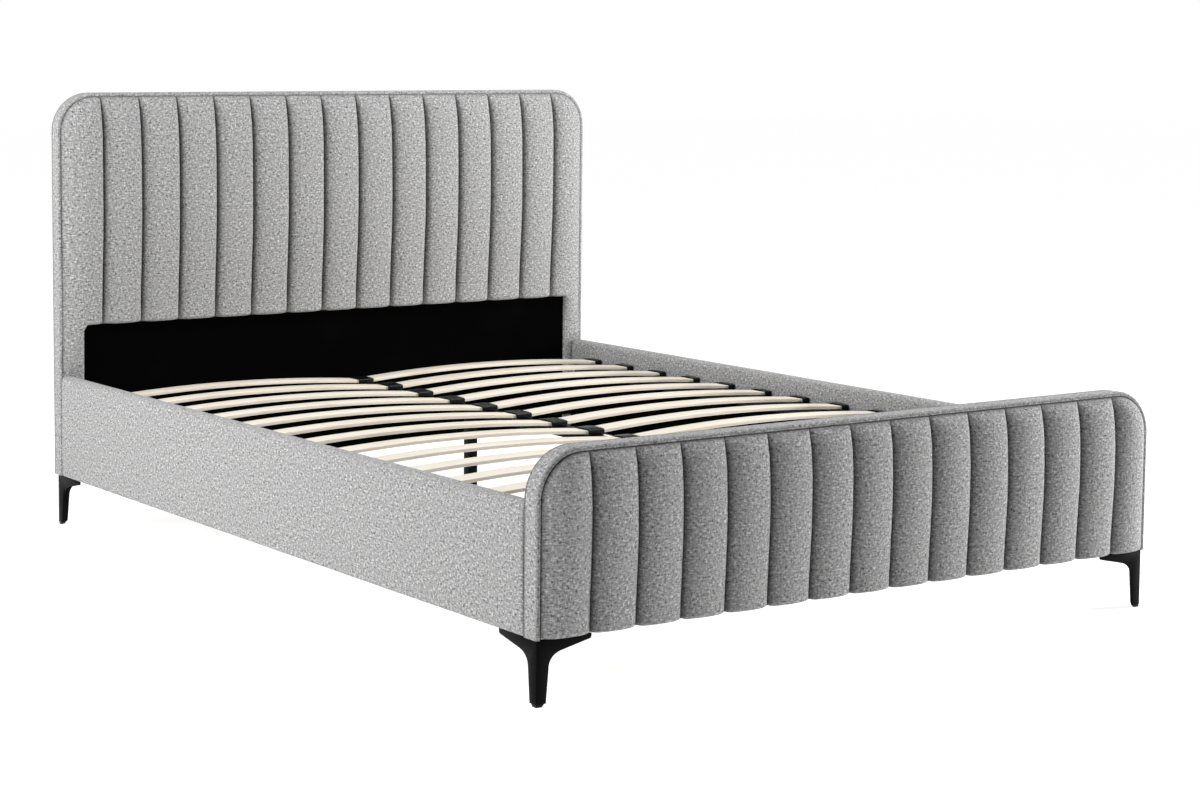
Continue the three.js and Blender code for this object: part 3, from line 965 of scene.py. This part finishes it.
    def _stations(self) -> list[Matrix]:
        """The boxing band's course up one side, over the top and down the other.

        Returns:
            Matrices whose first axis points out of the board and whose second runs to its back.
        """
        centre_x, centre_z = self.half - self.radius, self.top - self.radius
        course: list[tuple[Vector, Vector]] = []
        rise, over, turn = 14, 40, 14
        for i in range(rise):
            level = mixed(self.bottom, centre_z, i / rise)
            course.append((Vector((-self.half, 0, level)), Vector((-1, 0, 0))))
        for i in range(turn + 1):
            angle = math.pi - i / turn * math.pi / 2
            out = Vector((math.cos(angle), 0, math.sin(angle)))
            course.append((Vector((-centre_x, 0, centre_z)) + out * self.radius, out))
        for i in range(1, over):
            x = mixed(-centre_x, centre_x, i / over)
            course.append((Vector((x, 0, self.top)), Vector((0, 0, 1))))
        for point, out in reversed(course[: rise + turn + 1]):
            course.append((Vector((-point.x, 0, point.z)), Vector((-out.x, 0, out.z))))
        stations = []
        for point, out in course:
            along = out.cross(Vector((0, 1, 0)))
            axes = Matrix((out, Vector((0, 1, 0)), along)).transposed()
            stations.append(Matrix.Translation(point) @ axes.to_4x4())
        return stations

    def band(self) -> Object:
        """Builds the boxing band: a strip over the edge, turned in to the pad's seam in front."""
        inset = self.half - self.pad_half - 0.35 * MM
        front = self.seam
        deep = self.back - front
        soft, wall = self.band_round, self.band_wall
        points = [Vector((-inset, front + self.lip - 0.2 * MM, 0)), Vector((-inset, front + 1.2 * MM, 0))]
        points.append(Vector((-inset + 1.0 * MM, front + 0.2 * MM, 0)))
        points.append(Vector((-inset + 2.6 * MM, front - 0.4 * MM, 0)))
        points += [Vector((-soft - 1 * MM, front - 0.5 * MM, 0)), Vector((-soft, front - 0.5 * MM, 0))]
        for i in range(1, 8):
            angle = i / 8 * math.pi / 2
            outward = -soft + soft * math.sin(angle)
            points.append(Vector((outward, front - 0.5 * MM + soft * (1 - math.cos(angle)), 0)))
        for i in range(1, 6):
            points.append(Vector((0.0, front + mixed(soft, deep - 3 * MM, i / 6), 0)))
        points += [Vector((-0.2 * MM, self.back - 1.8 * MM, 0)), Vector((-1.2 * MM, self.back - 0.4 * MM, 0))]
        points += [Vector((-2.4 * MM, self.back, 0)), Vector((-wall + 0.4 * MM, self.back - 0.2 * MM, 0))]
        points += [Vector((-wall, self.back - 0.8 * MM, 0)), Vector((-wall, front + self.lip - 0.2 * MM, 0))]
        bm = swept(points, self._stations())
        for vert in bm.verts:
            if self.seam + 2 * MM < vert.co.y < self.back - 4 * MM:
                ripple = 0.45 * MM * noise.noise(vert.co * 11)
                at_side = abs(vert.co.x) > self.half - 1 * MM
                vert.co.x -= math.copysign(abs(ripple), vert.co.x) if at_side else 0.0
                vert.co.z -= abs(ripple) if vert.co.z > self.top - 1 * MM else 0.0
        # The band's turned-in edge at the pad's seam takes the rim's painted shade; a line on the footboard
        # band's front and the band's back edge are darkened too.
        mark = bm.verts.layers.float.new(SEAM_AND_SHADE_MARK)
        for vert in bm.verts:
            depth_in = self._depth_in(vert.co)
            sewn = vert.co.y < front + 1.3 * MM and depth_in > inset - 0.5 * MM
            on_line = vert.co.y < front and abs(depth_in - soft) < 0.3 * MM
            stitched = on_line and self.end is End.FOOT
            folded = vert.co.y > self.back - 2 * MM
            vert[mark] = self.rim if sewn else 0.5 if stitched else 0.9 if folded else 0.0
        node = f"{self.word}_boxing_band"
        band = self.shop.piece(f"{self.word}_band", bm, Slot.FABRIC, [node], crease=60)
        return band

    def _depth_in(self, point: Vector) -> float:
        """How far a point lies inside the board's outer outline."""
        corner_x = abs(point.x) - (self.half - self.radius)
        corner_z = point.z - (self.top - self.radius)
        if corner_x > 0 and corner_z > 0:
            return self.radius - math.hypot(corner_x, corner_z)
        return min(self.half - abs(point.x), self.top - point.z)

    def cloth(self, node: str, name: str, slot: Slot, top_rounded: bool = True) -> Object:
        """Builds a sheet of cloth stretched over a flat of the board, with a turned-in hem.

        Args:
            node: The CAD cloth that it stands for.
            name: The piece's name.
            slot: Its material slot.
            top_rounded: Whether its top corners are rounded as the board's are.

        Returns:
            The sheet.
        """
        low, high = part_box(node)
        half, facing = high.x, 1 if high.y > self.back - 1 * MM else -1
        outer_face = high.y if facing > 0 else low.y
        radius = self.radius - (self.half - half) if top_rounded else 0.0
        hem, thick, count_x, count_z = 12 * MM, 0.9 * MM, 61, 41

        def place(column: int, row: int) -> Vector:
            """Where a corner of the sheet lies."""
            across = -math.cos(math.pi * column / (count_x - 1))
            x = mixed(column / (count_x - 1) * 2 - 1, across, 0.8) * half
            into = max(abs(x) - (half - radius), 0.0)
            top = high.z - radius + math.sqrt(max(radius**2 - into**2, 0.0))
            share = row / (count_z - 1)
            level = mixed(share, (1 - math.cos(math.pi * share)) / 2, 0.8)
            z = mixed(low.z, top, level)
            edge = min(half - abs(x), top - z, z - low.z)
            sink = 0.4 * MM * smooth_step(edge, hem - 2 * MM, hem + 2 * MM)
            wander = abs(noise.noise(Vector((x * 5, z * 5, 1.7))))
            drift = 0.25 * MM * wander * smooth_step(edge, hem, 5 * hem)
            return Vector((x, outer_face - facing * (sink + drift), z))

        bm = shaped_grid(count_x, count_z, place)
        backed(bm, lambda point: Vector((point.x, outer_face - facing * thick * 1.5, point.z)))
        sheet = self.shop.piece(name, bm, slot, [node])
        width, height = 2 * half, high.z - low.z
        area = width * height - (4 - math.pi) * radius * radius / 2
        rests = f"{self.word}_frame"
        return sheet

    def build(self) -> None:
        """Builds the whole board."""
        self.pad()
        self.band()
        if self.end is End.HEAD:
            back = self.cloth("headboard_back_cloth", "headboard_back_sheet", Slot.BLACK_CLOTH)
            back.data.materials[0] = self.shop.back_cloth
            self.cloth("headboard_lining", "headboard_front_lining", Slot.BLACK_CLOTH, top_rounded=False)
        else:
            self.cloth("footboard_inner_cover", "footboard_inner_sheet", Slot.FABRIC)


# ---- Side rails ----


@dataclass
class SideRail:
    """A padded side rail: its fabric cover over thin foam, and the black lining inside."""

    side: Side
    shop: Workshop
    outer_wall: float = 7.6 * MM
    inner_wall: float = 2.6 * MM
    top_wall: float = 7.6 * MM
    round_top: float = 13 * MM
    end_round: float = 7 * MM
    stations: int = 64

    def section(self) -> list[Vector]:
        """The cover's closed outline across the rail, open underneath, from the outer foot over the top."""
        low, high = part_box(f"{self.side.word}_rail_cover")
        sign = self.side.value
        outer, inner = (high.x, low.x) if sign > 0 else (low.x, high.x)
        foot, top, r = low.z, high.z, self.round_top
        points = [(self.outer_wall, foot), (4.5 * MM, foot)]
        points += [(2 * MM, foot + 0.8 * MM), (0.8 * MM, foot + 3 * MM)]
        for i in range(13):
            level = i / 12
            belly = 1.1 * MM * (1 - math.sin(math.pi * level) ** 0.6)
            points.append((belly, mixed(foot + 8 * MM, top - r - 2 * MM, level)))
        for i in range(1, 8):
            angle = i / 8 * math.pi / 2
            points.append((r * (1 - math.cos(angle)), top - r + r * math.sin(angle)))
        width = abs(outer - inner)
        points += [(mixed(r, width - r, i / 4), top) for i in range(5)]
        for i in range(1, 8):
            angle = i / 8 * math.pi / 2
            points.append((width - r + r * math.sin(angle), top - r + r * math.cos(angle)))
        points += [(width, mixed(top - r, foot, i / 5)) for i in range(6)]
        points += [(width - self.inner_wall, foot), (width - self.inner_wall, top - self.top_wall)]
        points += [(self.outer_wall, top - self.top_wall)]
        return [Vector((outer - sign * inward, 0, height)) for inward, height in points]

    def cover(self) -> Object:
        """Builds the cover."""
        low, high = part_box(f"{self.side.word}_rail_cover")
        near = [0, 0.3 * MM, 0.9 * MM, 1.8 * MM, 3 * MM, 4.6 * MM, 6.5 * MM, 9 * MM, 14 * MM]
        start, end = low.y + 20 * MM, high.y - 20 * MM
        middle = [mixed(start, end, i / self.stations) for i in range(self.stations + 1)]
        places = [low.y + d for d in near] + middle + [high.y - d for d in reversed(near)]
        bm = swept(self.section(), [Matrix.Translation((0, y, 0)) for y in places])
        outer = self.side.value * max(abs(low.x), abs(high.x))
        for vert in bm.verts:
            from_end = min(vert.co.y - low.y, high.y - vert.co.y)
            inward = abs(outer - vert.co.x)
            if inward < 6 * MM or vert.co.z > high.z - 1.5 * MM:
                ripple = abs(noise.noise(Vector((3.3, vert.co.y * 3.2, vert.co.z * 7))))
                drag = abs(noise.noise(Vector((5.5, vert.co.y * 22, vert.co.z * 6))))
                drag *= math.exp(-from_end / 0.05)
                slack = (1.0 * ripple + 1.4 * drag) * MM * smooth_step(from_end, 0, 4 * MM)
                vert.co.x -= self.side.value * slack if inward < 6 * MM else 0.0
                vert.co.z -= 0.6 * slack if vert.co.z > high.z - 1.5 * MM else 0.0
            if from_end < self.end_round:
                rise = math.sqrt(max(1 - (1 - from_end / self.end_round) ** 2, 0.0))
                turn = self.end_round * (1 - rise)
                vert.co.x -= self.side.value * turn * (1 - smooth_step(inward, 3 * MM, 7 * MM)) * 0.6
                vert.co.z -= turn * smooth_step(vert.co.z, high.z - 7 * MM, high.z - 3 * MM)
        # Painted shade: the cover darkens towards its ends, where the rail meets the boards.
        mark = bm.verts.layers.float.new(SEAM_AND_SHADE_MARK)
        for vert in bm.verts:
            from_end = min(vert.co.y - low.y, high.y - vert.co.y)
            vert[mark] = math.exp(-from_end / (3.2 * MM)) if from_end < 15 * MM else 0.0
        word = self.side.word
        piece = self.shop.piece(f"{word}_rail_padding", bm, Slot.FABRIC, [f"{word}_rail_cover"], crease=60)
        return piece

    def lining(self) -> Object:
        """Builds the black lining inside the rail, under the ledge and tucked behind the brackets."""
        word, sign = self.side.word, self.side.value
        low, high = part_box(f"{word}_rail_cover")
        ledge_low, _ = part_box(f"{word}_slat_ledge")
        inner = low.x if sign > 0 else high.x
        _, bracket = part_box(f"foot_{word}_corner_bracket")
        bracket_far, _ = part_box(f"head_{word}_corner_bracket")
        start, end = low.y + 1 * MM, high.y - 1 * MM
        clear_start, clear_end = bracket.y + 1 * MM, bracket_far.y - 1 * MM
        foot, top = low.z + 3 * MM, ledge_low.z - 1 * MM
        inner_run = [mixed(clear_start, clear_end, i / 80) for i in range(81)]
        places = [start, mixed(start, clear_start, 0.5), *inner_run, mixed(clear_end, end, 0.5), end]
        across, up = len(places), 15

        def place(column: int, row: int) -> Vector:
            """Where a corner of the lining lies."""
            y = places[column]
            z = mixed(foot, top, row / (up - 1))
            edge = min(row, up - 1 - row) / (up - 1)
            slack = abs(noise.noise(Vector((2.2, y * 6, z * 9))))
            loose = 0.5 * MM * slack * smooth_step(edge, 0, 0.2)
            clear = smooth_step(min(y - clear_start, clear_end - y), 0, 20 * MM)
            return Vector((inner - sign * mixed(0.24 * MM, 0.9 * MM + loose, clear), y, z))

        bm = shaped_grid(across, up, place)
        backed(bm, lambda point: Vector((inner - sign * 0.1 * MM, point.y, point.z)))
        piece = self.shop.piece(f"{word}_rail_lining", bm, Slot.BLACK_CLOTH)
        return piece

    def build(self) -> None:
        """Builds the rail's soft pieces."""
        self.cover()
        self.lining()


# ---- Slats and holders ----


@dataclass
class SlatBase:
    """Two columns of bowed slats in plastic holders."""

    shop: Workshop
    rows: int = 13
    thickness: float = 8 * MM
    edge_round: float = 1.6 * MM
    stations: int = 30

    def slat(self, side: Side, row: int) -> Object:
        """Builds one slat over its CAD node.

        Args:
            side: The column.
            row: The row, from 1 at the headboard.

        Returns:
            The slat.
        """
        node = f"{side.word}_slat_{row:02d}"
        low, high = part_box(node)
        middle, reach = (low.x + high.x) / 2, (high.x - low.x) / 2
        bow = high.z - low.z - self.thickness
        width = high.y - low.y

        def line(x: float) -> float:
            """The height of the slat's middle layer at some x."""
            return low.z + self.thickness / 2 + bow * (1 - ((x - middle) / reach) ** 2)

        course = []
        for i in range(self.stations + 1):
            x = mixed(low.x, high.x, i / self.stations)
            slope = math.atan(-2 * bow * (x - middle) / reach**2)
            place = Matrix.Translation((x, (low.y + high.y) / 2, line(x)))
            course.append(place @ Matrix.Rotation(-slope, 4, "Y"))
        bm = swept(self._section(width), course)
        mark = bm.verts.layers.float.new(LAYER_MARK)
        for vert in bm.verts:
            vert[mark] = vert.co.z - line(vert.co.x)
        return self.shop.piece(f"{side.word}_bowed_slat_{row:02d}", bm, Slot.BIRCH, [node], crease=50)

    def _section(self, width: float) -> list[Vector]:
        """A slat's rounded outline, drawn in Y and Z."""
        half, thick, r = width / 2, self.thickness / 2, self.edge_round
        points = []
        signs = ((1, 1), (-1, 1), (-1, -1), (1, -1))
        for quarter, (side_y, side_z) in enumerate(signs):
            y, z = side_y * (half - r), side_z * (thick - r)
            for step in range(4):
                angle = (quarter + step / 3) * math.pi / 2
                points.append(Vector((0, y + r * math.cos(angle), z + r * math.sin(angle))))
        return points

    @staticmethod
    def _ring(
        x: float,
        y: float,
        size: tuple[float, float],
        floor: float,
        corner: float,
        dome: float,
    ) -> list[Vector]:
        """A holder's outline across the slat.

        Args:
            x: Where the ring stands.
            y: The middle of the slat.
            size: The ring's width and height.
            floor: The height of its underside.
            corner: The radius of its corners.
            dome: How much the top is crowned.

        Returns:
            The ring's corners.
        """
        half, tall = size[0] / 2, size[1]
        points = []
        corners = ((half, tall, 0), (-half, tall, 1), (-half, 0.0, 2), (half, 0.0, 3))
        for edge_y, edge_z, quarter in corners:
            centre_y = edge_y - math.copysign(corner, edge_y)
            centre_z = edge_z - corner if edge_z > 0 else corner
            for step in range(5):
                angle = (quarter + step / 4) * math.pi / 2
                points.append((centre_y + corner * math.cos(angle), centre_z + corner * math.sin(angle)))
            if quarter in (0, 2):
                span = math.copysign(half - corner, edge_y)
                points += [(mixed(span, -span, i / 8), edge_z) for i in range(1, 8)]
        ring = []
        for py, pz in points:
            crown = dome * (1 - (py / half) ** 2) if pz > tall / 2 else 0.0
            ring.append(Vector((x, y + py, floor + pz + crown)))
        return ring

    def _holder(
        self,
        mouths: tuple[float, float],
        webs: tuple[float, float],
        slat_y: tuple[float, float],
        box: tuple[Vector, Vector],
    ) -> bmesh.types.BMesh:
        """One holder: a domed body with a pocket at one or both ends.

        Args:
            mouths: The x of its two ends.
            webs: The x where each pocket stops; an end whose web is its mouth is closed.
            slat_y: The slat's lowest and highest y.
            box: The CAD holders' box.

        Returns:
            The closed solid.
        """
        low, high = box
        y = sum(slat_y) / 2
        clear = 0.25 * MM
        pocket = (slat_y[1] - slat_y[0] + 2 * clear, self.thickness + 2 * clear)
        floor = low.z + 3.5 * MM - clear
        wide, tall, dome = pocket[0] + 8.4 * MM, high.z - low.z - 1.6 * MM, 1.6 * MM
        out = 1 if mouths[1] > mouths[0] else -1

        def end_rings(mouth: float, web: float, outward: int) -> list[list[Vector]]:
            """The rings round one end, from the body's face inwards."""
            soft = 1.2 * MM
            rings = [self._ring(mouth - outward * soft, y, (wide, tall), low.z, 3.2 * MM, dome)]
            inner = (wide - 1.4 * MM, tall - 1.2 * MM)
            rings.append(self._ring(mouth - outward * 0.3 * MM, y, inner, low.z + 0.5 * MM, 2.8 * MM, dome))
            if abs(web - mouth) < 0.1 * MM:
                return rings
            face = (inner[0] - 2 * MM, inner[1] - 1.5 * MM)
            rings.append(self._ring(mouth, y, face, low.z + 1 * MM, 2 * MM, dome * 0.8))
            mouth_size = (pocket[0] + 0.6 * MM, pocket[1])
            rings.append(self._ring(mouth - outward * 0.4 * MM, y, mouth_size, floor, 1.8 * MM, 0.4 * MM))
            rings.append(self._ring(web, y, pocket, floor, 1.8 * MM, 0.4 * MM))
            return rings

        first = end_rings(mouths[0], webs[0], -out)
        last = end_rings(mouths[1], webs[1], out)
        return rings_joined(list(reversed(first)) + last)

    def holders(self) -> None:
        """Builds the centre holders and the two rows of caps."""
        slats = [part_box(f"left_slat_{row:02d}") for row in range(1, self.rows + 1)]
        spans = [(low.y, high.y) for low, high in slats]
        web = abs(slats[0][1].x) - 0.5 * MM
        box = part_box("centre_slat_holders")
        doubles = [self._holder((box[0].x, box[1].x), (-web, web), span, box) for span in spans]
        self.shop.piece("centre_holders", joined(doubles), Slot.PLASTIC, ["centre_slat_holders"], crease=30)
        for side in Side:
            node = f"{side.word}_slat_caps"
            low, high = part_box(node)
            mouth, closed = (high.x, low.x) if side is Side.LEFT else (low.x, high.x)
            stop = side.value * (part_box("right_slat_01")[1].x + 0.5 * MM)
            caps = [self._holder((closed, mouth), (closed, stop), span, (low, high)) for span in spans]
            self.shop.piece(f"{side.word}_end_caps", joined(caps), Slot.PLASTIC, [node], crease=30)

    def build(self) -> None:
        """Builds every slat and holder."""
        for side in Side:
            for row in range(1, self.rows + 1):
                self.slat(side, row)
        self.holders()


# ---- Steel parts and feet ----


@dataclass
class CornerLeg:
    """A right-angle steel leg with a plastic glide on its foot."""

    end: End
    side: Side
    shop: Workshop
    post: float = 23 * MM
    wall: float = 4.5 * MM
    glide_inset: float = 0.7 * MM
    glide_height: float = 7 * MM
    glide_taper: float = 7 * MM

    @property
    def name(self) -> str:
        """The leg's name."""
        return f"{self.end.word}_{self.side.word}"

    def build(self) -> None:
        """Builds the leg and its glide."""
        node = f"{self.name}_leg"
        low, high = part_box(node)
        bm = softened(node, 0.8 * MM)
        for vert in bm.verts:
            vert.co.z = max(vert.co.z, self.glide_height - 1 * MM)
        self.shop.piece(f"{self.name}_corner_leg", bm, Slot.METAL, [node], crease=38)
        corner_x = high.x if self.side is Side.RIGHT else low.x
        corner_y = high.y if self.end is End.HEAD else low.y
        corner = Vector((corner_x, corner_y, 0))
        inward = Vector((-self.side.value, -self.end.value))
        self.shop.piece(f"{self.name}_glide", self._glide(corner, inward), Slot.PLASTIC, crease=38)

    def _glide(self, corner: Vector, inward: Vector) -> bmesh.types.BMesh:
        """The glide: an L-shaped shoe set in under the leg's foot."""
        out, reach, thick = self.glide_inset, self.post - 3 * self.glide_inset, self.wall + 2 * MM
        plan = ((out, out), (reach, out), (reach, thick), (thick, thick), (thick, reach), (out, reach))
        outline = [Vector((corner.x + inward.x * u, corner.y + inward.y * v, 0)) for u, v in plan]
        bm = swept(outline, [Matrix.Identity(4), Matrix.Translation((0, 0, self.glide_height))])
        for vert in bm.verts:
            if vert.co.z < 0.1 * MM:
                from_x, from_y = abs(vert.co.x - corner.x), abs(vert.co.y - corner.y)
                vert.co.x -= inward.x * self.glide_taper * smooth_step(from_x, 12 * MM, reach)
                vert.co.y -= inward.y * self.glide_taper * smooth_step(from_y, 12 * MM, reach)
        edges = [edge for edge in bm.edges if edge.calc_face_angle(0) > math.radians(25)]
        bmesh.ops.bevel(bm, geom=edges, offset=0.8 * MM, segments=2, profile=0.5, affect="EDGES", material=-1)
        return bm


@dataclass
class CentreSupport:
    """The steel rail under the slats' middle with its brackets, legs and levelling feet."""

    shop: Workshop
    thread_pitch: float = 1.5 * MM
    thread_depth: float = 0.5 * MM
    stud: float = 4 * MM

    def foot(self, end: End) -> Object:
        """Builds one levelling foot: a moulded pad on a threaded stud."""
        node = f"levelling_foot_{end.word}_side"
        low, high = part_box(node)
        axis = Vector(((low.x + high.x) / 2, (low.y + high.y) / 2, 0))
        r = (high.x - low.x) / 2
        profile = [Vector((0, 0, 0))]
        shape = [(2.2, 0.0), (1.0, 0.3), (0.3, 1.1), (0.0, 2.2), (0.0, 4.6)]
        shape += [(0.5, 5.6), (1.6, 6.4), (4.6, 7.6), (6.2, 8.4)]
        profile += [Vector((r - inset * MM, 0, height * MM)) for inset, height in shape]
        top = high.z
        turns = int((top - 9 * MM) / self.thread_pitch)
        for turn in range(turns):
            start = 8.6 * MM + turn * self.thread_pitch
            profile.append(Vector((self.stud - self.thread_depth, 0, start)))
            profile.append(Vector((self.stud, 0, start + self.thread_pitch / 2)))
        profile += [Vector((self.stud - self.thread_depth, 0, top)), Vector((0, 0, top))]
        bm = turned(profile, axis)
        body = f"{end.word}_side_levelling_foot"
        return self.shop.piece(f"{end.word}_levelling_foot", bm, Slot.PLASTIC, [node], body, 50)

    def build(self) -> None:
        """Builds the support's pieces."""
        for end in End:
            self.shop.steel(f"{end.word}_centre_leg", f"centre_leg_{end.word}_side", 0.7 * MM, 2)
            self.shop.steel(f"{end.word}_rail_bracket", f"centre_rail_{end.word}_bracket", 0.5 * MM, 1)
            self.foot(end)
        self.shop.steel("centre_rail_tube", "centre_rail", 0.6 * MM, 2)


@dataclass
class RailFixings:
    """The ledges that carry the slats and the brackets that bolt the rails to the boards."""

    shop: Workshop

    def build(self) -> None:
        """Builds the ledges and brackets with softened edges."""
        for side in Side:
            self.shop.steel(f"{side.word}_ledge", f"{side.word}_slat_ledge", 0.5 * MM, 1)
            for end in End:
                corner = f"{end.word}_{side.word}"
                self.shop.steel(f"{corner}_bracket", f"{corner}_corner_bracket", 0.5 * MM, 1)


# ---- Studio ----


@dataclass
class Studio:
    """A pale seamless floor, soft lights and the camera."""

    floor_size: float = 60.0
    camera_at: tuple[float, float, float] = (-3.488, -4.9315, 1.245)
    turn: float = -33.55
    tilt: float = 84.70
    roll: float = 0.321
    lens: float = 76.15
    shift: tuple[float, float] = (0.0927, -0.1)
    overhead_power: float = 1.35
    sky_stops: tuple[tuple[float, float], tuple[float, float]] = ((0.1, 1.0), (0.17, 0.12))

    def floor(self) -> Object:
        """Lays the floor."""
        bm = bmesh.new()
        bmesh.ops.create_grid(bm, x_segments=4, y_segments=4, size=self.floor_size / 2)
        mesh = bpy.data.meshes.new("floor")
        bm.to_mesh(mesh)
        bm.free()
        mesh.materials.append(StudioFloor().build())
        floor = bpy.data.objects.new("floor", mesh)
        bpy.context.scene.collection.objects.link(floor)
        return floor

    def light(
        self,
        name: str,
        place: Sequence[float],
        aim: Sequence[float],
        size: float,
        power: float,
    ) -> None:
        """Hangs a square soft light.

        Args:
            name: The light's name.
            place: Where it hangs.
            aim: The point that it faces.
            size: The length of its sides.
            power: Its power in watts.
        """
        data = bpy.data.lights.new(name, "AREA")
        data.shape, data.size, data.energy = "SQUARE", size, power
        lamp = bpy.data.objects.new(name, data)
        lamp.location = place
        lamp.rotation_euler = (Vector(aim) - Vector(place)).to_track_quat("-Z", "Y").to_euler()
        bpy.context.scene.collection.objects.link(lamp)

    def overhead(self) -> None:
        """Hangs a very soft light straight above, which keeps the paper even."""
        data = bpy.data.lights.new("overhead", "SUN")
        data.energy, data.angle = self.overhead_power, math.radians(90)
        bpy.context.scene.collection.objects.link(bpy.data.objects.new("overhead", data))

    def sky(self) -> None:
        """Surrounds the scene with white, dimmer overhead than at the horizon."""
        world = bpy.data.worlds.new("studio")
        world.use_nodes = True
        tree = world.node_tree
        place = tree.nodes.new("ShaderNodeTexCoord")
        split = tree.nodes.new("ShaderNodeSeparateXYZ")
        ramp = tree.nodes.new("ShaderNodeValToRGB")
        for element, (height, level) in zip(ramp.color_ramp.elements, self.sky_stops):
            element.position = height
            element.color = (level, level, level, 1.0)
        tree.links.new(place.outputs["Generated"], split.inputs[0])
        tree.links.new(split.outputs["Z"], ramp.inputs["Fac"])
        tree.links.new(ramp.outputs["Color"], tree.nodes["Background"].inputs["Color"])
        tree.nodes["Background"].inputs["Strength"].default_value = 1.0
        bpy.context.scene.world = world

    def camera(self) -> None:
        """Sets up the camera."""
        data = bpy.data.cameras.new("camera")
        data.lens, data.sensor_width = self.lens, 36.0
        data.shift_x, data.shift_y = self.shift
        data.clip_end = 200.0
        camera = bpy.data.objects.new("camera", data)
        heading = Matrix.Rotation(math.radians(self.turn), 4, "Z")
        pitch = Matrix.Rotation(math.radians(self.tilt), 4, "X")
        lean = Matrix.Rotation(math.radians(self.roll), 4, "Z")
        camera.matrix_world = Matrix.Translation(self.camera_at) @ heading @ pitch @ lean
        bpy.context.scene.collection.objects.link(camera)
        bpy.context.scene.camera = camera

    def build(self) -> None:
        """Sets the scene."""
        bpy.context.scene.view_settings.view_transform = "Standard"
        self.floor()
        self.sky()
        self.light("side_light", (-3.6, 0.5, 2.1), (-0.4, 0.0, 0.4), 1.4, 150)
        self.light("top_light", (1.4, -0.5, 2.8), (0.1, 0.9, 0.6), 1.0, 50)
        self.light("front_light", (4.0, -1.85, 1.0), (0.6, -1.0, 0.3), 0.7, 205)
        self.overhead()
        self.camera()


def main() -> None:
    """Builds the bed and its studio."""
    logging.basicConfig(level=logging.INFO, format="%(name)s: %(message)s")
    Studio().build()
    shop = Workshop()
    shop.stock()
    for node in ("headboard_frame", "footboard_frame", "left_rail_board", "right_rail_board"):
        shop.dress(node, Slot.TIMBER)
    ChannelledBoard(End.HEAD, shop, 28 * MM, 52 * MM, 0.5, 0.3, 58, shade=0.3, rim=0.5).build()
    ChannelledBoard(End.FOOT, shop, 20 * MM, 38 * MM, 0.66, 0.2, 46).build()
    for side in Side:
        SideRail(side, shop).build()
        for end in End:
            CornerLeg(end, side, shop).build()
    SlatBase(shop).build()
    RailFixings(shop).build()
    CentreSupport(shop).build()
    log.info("%d pieces built", shop.shown)


if __name__ == "__main__":
    main()
